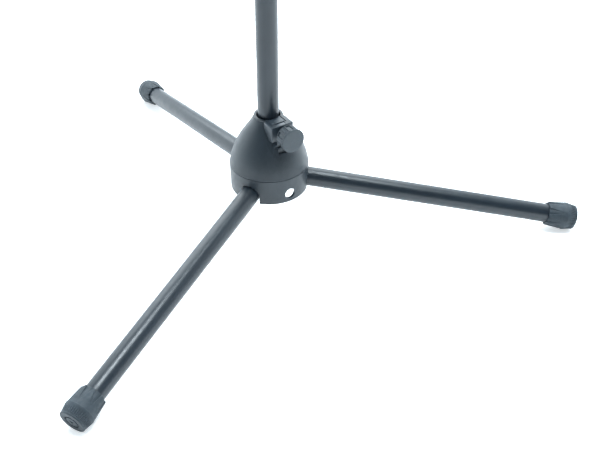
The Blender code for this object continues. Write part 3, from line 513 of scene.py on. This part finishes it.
HUB_LOOK = powder_coat("hub_powder_coat", (0.016, 0.024, 0.032), 0.42)
TUBE_LOOK = powder_coat("tube_powder_coat", (0.012, 0.019, 0.027), 0.33, 0.06)
DESK_LOOK = powder_coat("desk_powder_coat", (0.024, 0.031, 0.038), 0.42, 0.14, False)
PLASTIC_LOOK = moulded("black_moulded_plastic", (0.027, 0.039, 0.050), 0.44)
NYLON_LOOK = moulded("dark_nylon", (0.035, 0.041, 0.046), 0.50, 900.0, 0.15)
RUBBER_LOOK = rubber("foot_rubber", (0.022, 0.032, 0.041))
STEEL_LOOK = plated("plated_steel", (0.36, 0.37, 0.39), 0.26)

LOOKS = {
    "hub_paint": HUB_LOOK,
    "tube_paint": TUBE_LOOK,
    "desk_paint": DESK_LOOK,
    "black_plastic": PLASTIC_LOOK,
    "nylon": NYLON_LOOK,
    "foot_rubber": RUBBER_LOOK,
    "zinc_steel": STEEL_LOOK,
}


def dress(piece, body, slot, nodes, angle=35.0):
    """Gives a finished piece the material of its slot and its body, and hides the nodes that it
    stands for.
    Its mesh is turned into the stand's own axes, so that its box is tight."""
    piece.data.transform(piece.matrix_world)
    piece.matrix_world = Matrix.Identity(4)
    smooth(piece, angle)
    piece.data.materials.clear()
    piece.data.materials.append(LOOKS[slot])
    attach(piece, body)
    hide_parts(*nodes)
    return piece


# ---------------------------------------------------------------- hub


def dome_point(share):
    """The dome's outer line, from the seam (0) to the collar (1), and its direction."""
    start = Vector((SEAM_R, SEAM))
    end = Vector((COLLAR_R, HUB_TOP - MM))
    span = end - start
    lower = start + Vector(DOME_SHOULDER) * span
    upper = start + Vector(DOME_NECK) * span
    rest = 1.0 - share
    point = (
        rest**3 * start
        + 3.0 * rest**2 * share * lower
        + 3.0 * rest * share**2 * upper
        + share**3 * end
    )
    along = (
        rest**2 * (lower - start) + 2.0 * rest * share * (upper - lower) + share**2 * (end - upper)
    )
    return point, along.normalized()


def dome_outline():
    shares = [step / DOME_STEPS for step in range(DOME_STEPS + 1)]
    outer = [dome_point(share)[0] for share in reversed(shares)]
    inner = []
    for share in shares:
        point, along = dome_point(share)
        inside = point - HUB_WALL * Vector((along.y, -along.x))
        if SEAM + HUB_WALL < inside.y < NECK_BOTTOM - HUB_WALL:
            inner.append(inside)
    bottom = SEAM + GAP / 2.0
    rim = [(COLLAR_BORE_R, NECK_BOTTOM, 0.0), (COLLAR_BORE_R, HUB_TOP, 0.7 * MM)]
    rim += [(COLLAR_R, HUB_TOP, 1.0 * MM), (COLLAR_R, HUB_TOP - 1.5 * MM, 0.0)]
    top = rounded(rim)[1:]
    outline = top[len(top) // 2 - 1 :]
    outline += [point for point in outer if SEAM + 1.2 * MM < point.y < HUB_TOP - 1.6 * MM]
    low = [
        (SEAM_R - 0.1 * MM, SEAM + 1.2 * MM, 0.0),
        (SEAM_R, bottom, 0.5 * MM),
        (SEAM_R - HUB_WALL, bottom, 0.4 * MM),
        (SEAM_R - HUB_WALL, SEAM + HUB_WALL, 0.0),
    ]
    outline += rounded(low)
    outline += inner
    outline += [Vector((COLLAR_BORE_R, NECK_BOTTOM))]
    outline += top[: len(top) // 2 - 1]
    return outline


def carve_clamp(housing, frame_here, tube_r, top, prefix):
    """Cuts the pocket for shoe and nut and the screw's hole."""
    pocket = block(
        f"{prefix}_pocket",
        (tube_r / 2.0, -POCKET_HALF, top - POCKET_DEPTH),
        (tube_r + POCKET_LENGTH, POCKET_HALF, top + CUT),
        frame_here,
    )
    narrow = block(
        f"{prefix}_narrow",
        (tube_r + POCKET_LENGTH - MM, -NUT_POCKET_HALF, top - POCKET_DEPTH),
        (tube_r + NUT_POCKET_END, NUT_POCKET_HALF, top + CUT),
        frame_here,
    )
    hole = bar(
        f"{prefix}_hole",
        (tube_r + POCKET_LENGTH, 0.0, top - CLAMP_DROP),
        (tube_r + BOSS_FRONT + CUT, 0.0, top - CLAMP_DROP),
        CLAMP_SCREW_R + RUNNING,
        frame_here,
        steps=40,
    )
    for tool in (pocket, narrow, hole):
        cut(housing, tool)


def screw_turns():
    return [leg_turn(index) + POST_TURN for index in (1, 2, 3)]


def make_dome():
    dome = lathe("hub_dome", dome_outline(), HUB_STEPS, hub_frame())
    here = hub_frame(CLAMP_TURN)
    front = TUBE_R + BOSS_FRONT
    boss = block(
        "boss",
        (COLLAR_BORE_R - 0.5 * MM, -BOSS_HALF, NECK_BOTTOM - 2.0 * MM),
        (front, BOSS_HALF, HUB_TOP),
        here,
        0.7 * MM,
    )
    seat_low = (front - SEAT_DEPTH, -SEAT_HALF, SEAT_BOTTOM)
    step_low = (front - STEP_DEPTH, -STEP_HALF, STEP_BOTTOM)
    join(dome, boss)
    join(dome, block("seat", seat_low, (front + MM, SEAT_HALF, NECK_BOTTOM - MM), here))
    join(dome, block("step", step_low, (TUBE_R + STEP_FRONT, STEP_HALF, STEP_TOP), here))
    for turn in screw_turns():
        spot = hub_frame(turn) @ Matrix.Translation((POST_REACH, 0.0, 0.0))
        join(dome, bar("post", (0, 0, POST_BOTTOM), (0, 0, POST_TOP), POST_R, spot, steps=40))
    face_low = (front - 0.03 * MM, -BOSS_HALF - 0.5 * MM, FACE_BOTTOM)
    face_high = (front + 2.0 * CUT, BOSS_HALF + 0.5 * MM, NECK_BOTTOM + 2.0 * MM)
    recess_low = (TUBE_R + RECESS_FRONT, -RECESS_HALF, RECESS_BOTTOM)
    recess_high = (TUBE_R + RECESS_FRONT + CUT, RECESS_HALF, RECESS_TOP)
    cut(dome, block("face", face_low, face_high, here, 0.4 * MM))
    cut(dome, block("recess", recess_low, recess_high, here, 0.4 * MM))
    carve_clamp(dome, here, TUBE_R, HUB_TOP, "base")
    bore = bar(
        "bore",
        (0.0, 0.0, NECK_BOTTOM - CUT),
        (0.0, 0.0, HUB_TOP - 0.8 * MM),
        COLLAR_BORE_R - 0.01 * MM,
        hub_frame(),
        steps=HUB_STEPS,
    )
    cut(dome, bore)
    for turn in screw_turns():
        spot = hub_frame(turn) @ Matrix.Translation((POST_REACH, 0.0, 0.0))
        cut(dome, bar("hole", (0, 0, 0), (0, 0, SCREW_HOLE_TOP), SCREW_R + GAP, spot, steps=24))
    return dress(dome, "hub", "hub_paint", ["base_dome"])


def make_ring():
    top = SEAM - GAP / 2.0
    wall_middle = RING_BOTTOM_R - HUB_WALL / 2.0
    corners = [
        (SEAM_R - HUB_WALL, top, 0.0),
        (SEAM_R, top, 0.5 * MM),
        (RING_BOTTOM_R, RING_BOTTOM, 1.2 * MM),
        (RING_BOTTOM_R - HUB_WALL, RING_BOTTOM, 0.8 * MM),
        (SEAM_R - HUB_WALL, top - MM, 0.0),
    ]
    ring = lathe("hub_ring", dense(rounded(corners), 2.0 * MM), HUB_STEPS, hub_frame())
    slot_r = LEG_R + 1.0 * MM
    reach = math.sqrt(wall_middle**2 - CHEEK_OUT**2)
    pivot_height = -PIVOT_REACH * math.tan(SLOPE)
    arch_height = -wall_middle * math.tan(SLOPE)
    for index in (1, 2, 3):
        here = hub_frame(leg_turn(index))
        for side in (-1.0, 1.0):
            near, far = sorted((side * CHEEK_IN, side * CHEEK_OUT))
            low = (20.0 * MM, near, RING_BOTTOM + 1.7 * MM)
            high = (reach, far, SEAM - 4.0 * MM)
            join(ring, block("cheek", low, high, here, 0.3 * MM, 2))
    for turn in screw_turns():
        spot = hub_frame(turn) @ Matrix.Translation((POST_REACH, 0.0, 0.0)) @ ALONG_X.inverted()
        foot = wall_middle - 0.5 * MM - POST_REACH
        join(ring, lug("screw_lug", foot, 0.0, POST_R + 0.5 * MM, 3.0 * MM, 8.0 * MM, spot, 0.0))
    for index in (1, 2, 3):
        here = hub_frame(leg_turn(index))
        start = wall_middle - 2.5 * HUB_WALL
        end = SEAM_R + HUB_WALL
        top_of_leg = here @ Matrix.Translation((0.0, 0.0, arch_height))
        arch = lug("arch", arch_height - RING_BOTTOM + CUT, 0.0, slot_r, start, end, top_of_leg, 0.0)
        hole = bar(
            "pin_hole",
            (PIVOT_REACH, -CHEEK_OUT - MM, pivot_height),
            (PIVOT_REACH, CHEEK_OUT + MM, pivot_height),
            PIN_R + GAP,
            here,
            steps=32,
        )
        for tool in (arch, hole):
            cut(ring, tool)
    for turn in screw_turns():
        spot = hub_frame(turn) @ Matrix.Translation((POST_REACH, 0.0, 0.0))
        cut(ring, bar("hole", (0, 0, 0), (0, 0, 9.0 * MM), SCREW_R + GAP, spot, steps=24))
    half_step = Matrix.Rotation(math.pi / 64, 4, "X")
    window_frame = hub_frame(CLAMP_TURN) @ Matrix.Translation((0.0, 0.0, WINDOW_HEIGHT)) @ half_step
    start = wall_middle - 2.0 * HUB_WALL
    cut(ring, bar("window", (start, 0, 0), (SEAM_R + HUB_WALL, 0, 0), WINDOW_R, window_frame))
    return dress(ring, "hub", "hub_paint", ["base_ring"])


# ---------------------------------------------------------------- legs


def smoothstep(value):
    value = min(1.0, max(0.0, value))
    return value * value * (3.0 - 2.0 * value)


def off_middle(angle, count):
    """The angle to the nearest of count evenly spaced directions."""
    pitch = 2.0 * math.pi / count
    return abs((angle / pitch + 0.5) % 1.0 - 0.5) * pitch


def foot_shape(radius, along, angle):
    """Ribs on the outer half of a foot and sunk wedges on the inner half."""
    mouth = LEG_LENGTH - FOOT_LENGTH
    seam = LEG_LENGTH - FOOT_SEAM
    if radius < FOOT_MOUTH_R - 1.3 * MM or along > LEG_LENGTH - 1.0 * MM:
        return radius
    if along > seam + 1.0 * MM:
        start = smoothstep((along - seam - 2.2 * MM) / FOOT_RIB_RUN_IN)
        stop = smoothstep((LEG_LENGTH - 2.6 * MM - along) / FOOT_RIB_RUN_OUT)
        wave = 0.5 - 0.5 * math.cos(FOOT_RIBS * angle)
        return radius - FOOT_RIB_DEPTH * start * stop * wave**1.5
    share = (seam - along) / (seam - mouth)
    if share <= 0.02:
        return radius
    off = off_middle(angle, FOOT_LOBES)
    half = FOOT_WEDGE_HALF * min(1.0, share)
    edge = smoothstep((half - off) / FOOT_WEDGE_EDGE)
    crown = FOOT_WEDGE_CROWN + (1.0 - FOOT_WEDGE_CROWN) * off / half
    return radius - FOOT_WEDGE_DEPTH * share**0.8 * edge * min(1.0, crown)


def foot_outline():
    end = LEG_LENGTH
    mouth = end - FOOT_LENGTH
    seam = end - FOOT_SEAM
    corners = [
        (0.0, end - 3.0 * MM, 0.0),
        (1.4 * MM, end - 3.0 * MM, 0.2 * MM),
        (1.4 * MM, end, 0.3 * MM),
        (5.9 * MM, end, 0.3 * MM),
        (6.0 * MM, end - 1.3 * MM, 0.2 * MM),
        (7.5 * MM, end - 1.3 * MM, 0.2 * MM),
        (7.6 * MM, end, 0.3 * MM),
        (FOOT_END_R, end, 1.3 * MM),
        (FOOT_END_R + 0.25 * MM, end - 1.6 * MM, 0.3 * MM),
        (FOOT_END_R - 0.20 * MM, end - 2.1 * MM, 0.3 * MM),
        (FOOT_END_R + 0.30 * MM, end - 2.7 * MM, 0.3 * MM),
        (FOOT_SEAM_R - 0.1 * MM, seam + 1.2 * MM, 1.2 * MM),
        (FOOT_SEAM_R, seam + 0.3 * MM, 0.2 * MM),
        (FOOT_SEAM_R - 0.30 * MM, seam - 0.1 * MM, 0.1 * MM),
        (FOOT_MOUTH_R, mouth, 0.8 * MM),
        (LEG_R + 1.0 * MM, mouth, 0.5 * MM),
        (LEG_R + GAP, mouth + 3.2 * MM, 0.5 * MM),
        (LEG_R + GAP, end - FOOT_END_WALL, 0.0),
        (0.0, end - FOOT_END_WALL, 0.0),
    ]
    return dense(rounded(corners), 0.7 * MM)


def stand_on_floor(piece):
    """Flattens what would reach below the floor."""
    to_world = piece.matrix_world
    to_piece = to_world.inverted()
    for vertex in piece.data.vertices:
        spot = to_world @ vertex.co
        if spot.z < 0.0:
            spot.z = 0.0
            vertex.co = to_piece @ spot


def tube_outline(radius, wall, low, high):
    inner = radius - wall
    corners = [
        (inner, high, 0.0),
        (radius, high, 0.3 * MM),
        (radius, low, 0.3 * MM),
        (inner, low, 0.2 * MM),
        (inner, high - MM, 0.0),
    ]
    return rounded(corners)


def make_leg(index):
    along = leg_frame(index) @ ALONG_X
    tube_end = LEG_LENGTH - FOOT_END_WALL - GAP
    outline = tube_outline(LEG_R, LEG_WALL, TUBE_START, tube_end)
    tube = lathe(f"leg_{index}_outer_tube", outline, TUBE_STEPS, along)
    dress(tube, f"leg_{index}", "tube_paint", [f"leg_{index}_tube"])

    name = f"leg_{index}_rubber_cap"
    foot = lathe(name, foot_outline(), FOOT_RIBS * 8, along, foot_shape)
    stand_on_floor(foot)
    dress(foot, f"leg_{index}", "foot_rubber", [f"leg_{index}_foot"], 40.0)


# ---------------------------------------------------------------- clamps and knobs


def knob_shape(tube_r):
    """A knob's side: sunk rectangular grips with a ridge beside each one."""
    start = tube_r + KNOB_BODY_START + 1.0 * MM
    stop = tube_r + KNOB_END - 1.9 * MM

    def shape(radius, height, angle):
        if radius < KNOB_R - 1.2 * MM or not start < height < stop + 0.4 * MM:
            return radius
        ends = smoothstep((height - start) / (0.5 * MM)) * smoothstep((stop - height) / (0.35 * MM))
        off = off_middle(angle, KNOB_RECESSES)
        grip = smoothstep((KNOB_GRIP_HALF - off) / KNOB_GRIP_EDGE)
        line = smoothstep((KNOB_LINE_HALF - abs(off - KNOB_LINE_OFF)) / KNOB_LINE_EDGE)
        return radius - ends * (KNOB_GRIP_DEPTH * grip + KNOB_LINE_DEPTH * line)

    return shape


def make_knob(name, body, node, here, tube_r):
    start = tube_r + KNOB_START
    middle = tube_r + KNOB_BODY_START
    end = tube_r + KNOB_END
    bore = CLAMP_SCREW_R + GAP
    corners = [
        (0.0, end, 0.0),
        (KNOB_R - 2.0 * MM, end - 0.05 * MM, 0.6 * MM),
        (KNOB_R, end - 0.35 * MM, 0.5 * MM),
        (KNOB_R, end - 1.5 * MM, 0.2 * MM),
        (KNOB_R - KNOB_INSET, end - 1.7 * MM, 0.1 * MM),
        (KNOB_R - KNOB_INSET, middle, 1.0 * MM),
        (KNOB_NECK_R, middle, 0.7 * MM),
        (KNOB_NECK_R, start, 0.5 * MM),
        (bore, start, 0.3 * MM),
        (bore, end - KNOB_SOLID_END, 0.0),
        (0.0, end - KNOB_SOLID_END, 0.0),
    ]
    outline = dense(rounded(corners), 0.5 * MM)
    knob = lathe(name, outline, KNOB_STEPS, here, knob_shape(tube_r))
    return dress(knob, body, "black_plastic", [node], 40.0)


def make_shoe(name, body, node, here, tube_r, top):
    floor = top - POCKET_DEPTH + GAP
    lid = top - RUNNING
    low = (tube_r / 2.0 + 2.0 * MM, -POCKET_HALF + RUNNING, floor)
    high = (tube_r + SHOE_LENGTH, POCKET_HALF - RUNNING, lid)
    shoe = block(name, low, high, here, 0.4 * MM)
    hollow = bar("hollow", (0, 0, floor - MM), (0, 0, lid + MM), tube_r + RUNNING, here, steps=96)
    cut(shoe, hollow)
    return dress(shoe, body, "black_plastic", [node])


def make_clamps():
    hub_top = LEG_POINT.z + HUB_TOP
    clutch_top = tube_high.z + CLUTCH_ABOVE
    for prefix, tube_r, top in (("base", TUBE_R, hub_top), ("clutch", ROD_R, clutch_top)):
        here = turned_to(CLAMP_TURN, 0.0)
        make_shoe(f"{prefix}_pressure_shoe", f"{prefix}_clamp", f"{prefix}_shoe", here, tube_r, top)
        axis = turned_to(CLAMP_TURN, top - CLAMP_DROP) @ ALONG_X
        make_knob(f"{prefix}_grip", f"{prefix}_handle", f"{prefix}_knob", axis, tube_r)
    outside = EAR_INSIDE + EAR_THICKNESS
    shift = outside + RUNNING + GAP - KNOB_START
    here = desk_frame() @ ALONG_X @ Matrix.Translation((0.0, 0.0, shift))
    make_knob("tilt_grip", "tilt_handle", "tilt_knob", here, 0.0)


# ---------------------------------------------------------------- column


def make_column():
    low, high = tube_low.z, tube_high.z
    here = turned_to(0.0, 0.0)
    outline = tube_outline(TUBE_R, TUBE_WALL, low, high)
    tube = lathe("column_tube", outline, TUBE_STEPS, here)
    dress(tube, "column", "tube_paint", ["lower_tube"])

    top = high + CLUTCH_ABOVE
    bottom = high - CLUTCH_BELOW
    sleeve = TUBE_R + GAP
    bore = ROD_R + RUNNING
    corners = [
        (bore, top - MM, 0.0),
        (bore, top, 0.5 * MM),
        (CLUTCH_R, top, 1.4 * MM),
        (CLUTCH_R, bottom + 7.0 * MM, 0.3 * MM),
        (CLUTCH_R + 0.8 * MM, bottom + 6.2 * MM, 0.3 * MM),
        (CLUTCH_R + 0.8 * MM, bottom, 1.2 * MM),
        (sleeve, bottom, 0.5 * MM),
        (sleeve, high + GAP, 0.0),
        (bore, high + GAP, 0.0),
    ]
    clutch = lathe("clutch_housing", rounded(corners), TUBE_STEPS, here)
    clamp_here = turned_to(CLAMP_TURN, 0.0)
    boss = block(
        "clutch_boss",
        (CLUTCH_R / 2.0, -BOSS_HALF, top - POCKET_DEPTH - HUB_WALL),
        (ROD_R + BOSS_FRONT, BOSS_HALF, top),
        clamp_here,
        1.0 * MM,
    )
    join(clutch, boss)
    carve_clamp(clutch, clamp_here, ROD_R, top, "clutch")
    passage = bar("passage", (0, 0, high + MM), (0, 0, top + CUT), bore, here, steps=96)
    cut(clutch, passage)
    dress(clutch, "column", "black_plastic", ["clutch_body"])


def make_rod():
    low, high = rod_low.z, rod_high.z
    here = turned_to(0.0, 0.0)
    outline = tube_outline(ROD_R, ROD_WALL, low, high)
    rod = lathe("chromed_rod", outline, TUBE_STEPS, here)
    pin_height = high - HEAD_SOCKET / 2.0
    pin_hole = (0.0, -HEAD_R - CUT, pin_height), (0.0, HEAD_R + CUT, pin_height)
    cut(rod, bar("pin_hole", *pin_hole, SCREW_R + GAP, here, steps=24))
    dress(rod, "rod", "zinc_steel", ["upper_rod"])

    bottom = high - HEAD_SOCKET
    shoulder = high + 5.0 * MM
    bore = ROD_R + GAP
    corners = [
        (0.0, shoulder, 0.0),
        (HEAD_R, shoulder, 1.6 * MM),
        (HEAD_R, bottom + 4.0 * MM, 1.2 * MM),
        (HEAD_R - 1.4 * MM, bottom, 0.8 * MM),
        (bore, bottom, 0.4 * MM),
        (bore, high + GAP, 0.0),
        (0.0, high + GAP, 0.0),
    ]
    head = lathe("tilt_head", rounded(corners), TUBE_STEPS, here)
    axis_here = Matrix.Translation(tilt_axis)
    foot = tilt_axis.z - shoulder + MM
    tongue = lug("tongue", foot, 0.0, TONGUE_R, -TONGUE_HALF, TONGUE_HALF, axis_here, 0.6 * MM)
    join(head, tongue)
    bolt = (-TONGUE_HALF - CUT, 0.0, 0.0), (TONGUE_HALF + CUT, 0.0, 0.0)
    cut(head, bar("bolt_hole", *bolt, CLAMP_SCREW_R + GAP, axis_here, steps=40))
    cut(head, bar("pin_hole", *pin_hole, SCREW_R + GAP, here, steps=24))
    dress(head, "rod", "black_plastic", ["head_block"])


def lug(name, foot, turn, radius, low, high, matrix, soft):
    """A flat lug across X: a round eye about X and a neck that reaches foot from it."""
    bm = bmesh.new()
    angles = [math.pi * step / 32 for step in range(33)]
    outline = [(radius * math.cos(angle), radius * math.sin(angle)) for angle in angles]
    outline += [(-radius, -foot), (radius, -foot)]
    face = bm.faces.new([bm.verts.new((low, y, z)) for y, z in outline])
    grown = bmesh.ops.extrude_face_region(bm, geom=[face])
    verts = [part for part in grown["geom"] if isinstance(part, bmesh.types.BMVert)]
    bmesh.ops.translate(bm, verts=verts, vec=(high - low, 0.0, 0.0))
    bmesh.ops.recalc_face_normals(bm, faces=bm.faces)
    if soft:
        flat = [edge for edge in bm.edges if edge.calc_face_angle() > math.radians(60.0)]
        bmesh.ops.bevel(
            bm, geom=flat, offset=soft, offset_type="OFFSET", segments=3, profile=0.5, affect="EDGES"
        )
    bmesh.ops.transform(bm, matrix=Matrix.Rotation(turn, 4, "X"), verts=bm.verts)
    return new_piece(name, bm, matrix)


# ---------------------------------------------------------------- desk


def sheet_piece(name, rows, matrix, fold):
    """A bent sheet: rows of points joined by faces, with round folds, made thick."""
    bm = bmesh.new()
    lines = [[bm.verts.new(point) for point in row] for row in rows]
    for first, second in zip(lines, lines[1:]):
        for corners in zip(first, first[1:], second[1:], second):
            bm.faces.new(corners)
    piece = new_piece(name, bm, matrix)
    thicken(piece, fold)
    return piece


def thicken(piece, fold):
    bevel = piece.modifiers.new("folds", "BEVEL")
    bevel.width = fold
    bevel.segments = 5
    bevel.limit_method = "ANGLE"
    bevel.angle_limit = math.radians(40.0)
    solidify = piece.modifiers.new("thickness", "SOLIDIFY")
    solidify.thickness = SHEET
    solidify.offset = 0.0
    solidify.use_even_offset = True
    settle(piece)


def rivet_spots():
    across, upward = BRACKET_RIVETS
    bracket = [(x, z) for x in (-across, across) for z in (-upward, upward)]
    height = -DESK_BELOW + LEDGE_FLANGE / 2.0
    ledge = [(x, height) for x in (-LEDGE_RIVETS, 0.0, LEDGE_RIVETS)]
    return bracket, ledge


def make_rivets(name, spots, back):
    front = DESK_FRONT
    corners = [
        (0.0, front + 1.4 * MM, 0.0),
        (2.2 * MM, front + 1.3 * MM, 0.8 * MM),
        (3.6 * MM, front + GAP, 0.2 * MM),
        (RIVET_R, front + GAP, 0.0),
        (RIVET_R, back - GAP, 0.0),
        (3.2 * MM, back - GAP, 0.2 * MM),
        (2.2 * MM, back - 1.2 * MM, 0.6 * MM),
        (0.0, back - 1.2 * MM, 0.0),
    ]
    for index, (x, z) in enumerate(spots, 1):
        here = desk_frame() @ Matrix.Translation((x, 0.0, z)) @ ALONG_MINUS_Y
        rivet = lathe(f"{name}_head_{index}", rounded(corners), 40, here)
        dress(rivet, "desk", "zinc_steel", [f"{name}_{index}"])


def make_desk():
    here = desk_frame()
    bracket_spots, ledge_spots = rivet_spots()
    skin = -DESK_FRONT + SHEET / 2.0
    rim = -DESK_FRONT + DESK_RIM
    side = DESK_HALF - SHEET / 2.0
    bm = bmesh.new()
    add_box(bm, (-side, skin, -DESK_BELOW), (side, rim, DESK_ABOVE - SHEET / 2.0))
    unwanted = [face for face in bm.faces if face.normal.y > 0.5 or face.normal.z < -0.5]
    bmesh.ops.delete(bm, geom=unwanted, context="FACES")
    panel = new_piece("desk_sheet", bm, here)
    thicken(panel, 3.0 * MM)

    half = DESK_HALF - 3.0 * MM - SHEET
    flange = skin + SHEET + GAP
    floor = -DESK_BELOW - GAP - SHEET / 2.0
    lip = -DESK_FRONT - LEDGE_DEPTH
    bend = 2.0 * MM
    line = [(flange, floor + LEDGE_FLANGE), (flange, floor), (lip + bend, floor)]
    for step in range(1, 6):
        angle = math.pi / 2.0 * step / 6.0
        line.append((lip + bend - bend * math.sin(angle), floor + bend - bend * math.cos(angle)))
    line += [(lip, floor + bend), (lip, floor + LEDGE_LIP)]
    rows = [[(x, y, z) for y, z in line] for x in (-half, half)]
    ledge = sheet_piece("music_ledge_sheet", rows, here, 0.0)

    plate_front = -DESK_FRONT + SHEET + GAP
    plate_back = plate_front + PLATE_THICKNESS
    low = (-PLATE_HALF[0], plate_front, -PLATE_HALF[1])
    high = (PLATE_HALF[0], plate_back, PLATE_HALF[1])
    bracket = block("desk_bracket_plate", low, high, here, 0.5 * MM)
    for side_sign in (1.0, -1.0):
        ends = (side_sign * EAR_INSIDE, side_sign * (EAR_INSIDE + EAR_THICKNESS))
        near, far = sorted(ends)
        foot = MM - plate_back
        ear = lug("ear", foot, -math.pi / 2.0, EAR_R, near, far, here, 0.4 * MM)
        join(bracket, ear)
    reach = EAR_INSIDE + EAR_THICKNESS + CUT
    cut(bracket, bar("bolt", (-reach, 0, 0), (reach, 0, 0), CLAMP_SCREW_R + GAP, here, steps=40))
    for piece, spots in ((panel, bracket_spots + ledge_spots), (ledge, ledge_spots)):
        for x, z in spots:
            cut(piece, rivet_hole(x, z))
    for x, z in bracket_spots:
        cut(bracket, rivet_hole(x, z))
    dress(panel, "desk", "desk_paint", ["desk_panel"], 25.0)
    dress(ledge, "desk", "desk_paint", ["desk_ledge"], 25.0)
    dress(bracket, "desk", "desk_paint", ["desk_bracket"])
    make_rivets("bracket_rivet", bracket_spots, -plate_back)
    make_rivets("ledge_rivet", ledge_spots, -(flange + SHEET / 2.0))


def rivet_hole(x, z):
    start = (x, -DESK_FRONT - CUT, z)
    end = (x, -DESK_FRONT + CUT, z)
    return bar("rivet_hole", start, end, RIVET_R + GAP, desk_frame(), steps=24)


# ---------------------------------------------------------------- studio


def make_camera():
    """The camera stands 1 m from the hub, in front of it, and looks down at it."""
    level_back = Vector((math.sin(CAMERA_AZIMUTH), -math.cos(CAMERA_AZIMUTH), 0.0))
    back = level_back * math.cos(CAMERA_ELEVATION)
    back.z = math.sin(CAMERA_ELEVATION)
    right = Vector((math.cos(CAMERA_AZIMUTH), math.sin(CAMERA_AZIMUTH), 0.0))
    up = back.cross(right)
    side = right * math.cos(CAMERA_ROLL) + up * math.sin(CAMERA_ROLL)
    top = up * math.cos(CAMERA_ROLL) - right * math.sin(CAMERA_ROLL)
    data = bpy.data.cameras.new("camera")
    data.sensor_width = 36.0
    data.lens = CAMERA_LENS
    data.clip_start = 0.01
    data.clip_end = 50.0
    camera = bpy.data.objects.new("camera", data)
    bpy.context.scene.collection.objects.link(camera)
    turn = Matrix((side, top, back)).transposed().to_4x4()
    place = LEG_POINT + CAMERA_RIGHT * right - CAMERA_DOWN * up + CAMERA_BACK * back
    camera.matrix_world = Matrix.Translation(place) @ turn
    bpy.context.scene.camera = camera


def make_floor():
    bm = bmesh.new()
    bmesh.ops.create_circle(bm, cap_ends=True, segments=96, radius=12.0)
    floor = new_piece("studio_floor", bm, Matrix.Translation((0.0, 0.0, -0.0002)))
    look = Look("floor_paper", (0.90, 0.92, 0.93), 0.85)
    tone = look.ranged(look.noise(3.0, 2.0), 0.0, 1.0)
    colour = look.mixed(tone, (0.90, 0.92, 0.93), (0.92, 0.94, 0.95))
    rough = look.ranged(look.noise(40.0), 0.82, 0.9)
    floor.data.materials.append(look.done(colour, rough, look.bump(look.noise(900.0), 0.02, 0.0001)))
    look.shader.inputs["Specular IOR Level"].default_value = 0.1
    look.shader.inputs["Emission Color"].default_value = (0.95, 0.985, 1.0, 1.0)
    look.shader.inputs["Emission Strength"].default_value = 0.55


def add_light(name, spot, size, power, colour):
    """A rectangular softbox, placed from the column's foot and aimed at the hub."""
    data = bpy.data.lights.new(name, "AREA")
    data.shape = "RECTANGLE"
    data.size, data.size_y = size
    data.energy = power
    data.color = colour
    light = bpy.data.objects.new(name, data)
    bpy.context.scene.collection.objects.link(light)
    light.location = AXIS + Vector(spot)
    light.rotation_mode = "QUATERNION"
    light.rotation_quaternion = (Vector(LIGHT_AIM) - Vector(spot)).to_track_quat("-Z", "Y")


def make_light():
    """White all round, but dim on the side that the camera looks from."""
    world = bpy.data.worlds.new("studio")
    bpy.context.scene.world = world
    world.use_nodes = True
    nodes, links = world.node_tree.nodes, world.node_tree.links
    background = nodes["Background"]
    background.inputs["Color"].default_value = SKY_COLOUR
    heading = nodes.new("ShaderNodeTexCoord").outputs["Generated"]
    towards = nodes.new("ShaderNodeVectorMath")
    towards.operation = "DOT_PRODUCT"
    towards.inputs[1].default_value = DIM_SIDE
    spread = nodes.new("ShaderNodeMapRange")
    spread.interpolation_type = "SMOOTHSTEP"
    spread.inputs["From Min"].default_value = -0.15
    spread.inputs["From Max"].default_value = 0.85
    spread.inputs["To Min"].default_value = SKY_BRIGHT
    spread.inputs["To Max"].default_value = SKY_DIM
    links.new(heading, towards.inputs[0])
    links.new(towards.outputs["Value"], spread.inputs["Value"])
    links.new(spread.outputs["Result"], background.inputs["Strength"])
    cool = (0.88, 0.96, 1.0)
    cooler = (0.86, 0.95, 1.0)
    coolest = (0.84, 0.94, 1.0)
    add_light("left_softbox", (-1.8, 0.9, 0.8), (2.4, 1.6), 16.0, cooler)
    add_light("overhead_softbox", (0.35, -0.05, 2.40), (1.0, 1.0), 80.0, coolest)
    add_light("right_softbox", (1.9, 1.1, 0.9), (2.4, 1.6), 18.0, cool)
    add_light("back_softbox", (-0.3, 2.0, 1.9), (3.2, 2.2), 95.0, cool)


bpy.context.scene.view_settings.view_transform = "Standard"
make_camera()
make_floor()
make_light()
make_dome()
make_ring()
for number in (1, 2, 3):
    make_leg(number)
make_clamps()
make_column()
make_rod()
make_desk()

slots = {part["node"]: part["material_slot"] for part in frame["record"]["subparts"]}
for node, shown in frame["nodes"].items():
    shown.data.materials.clear()
    shown.data.materials.append(LOOKS[slots[node]])
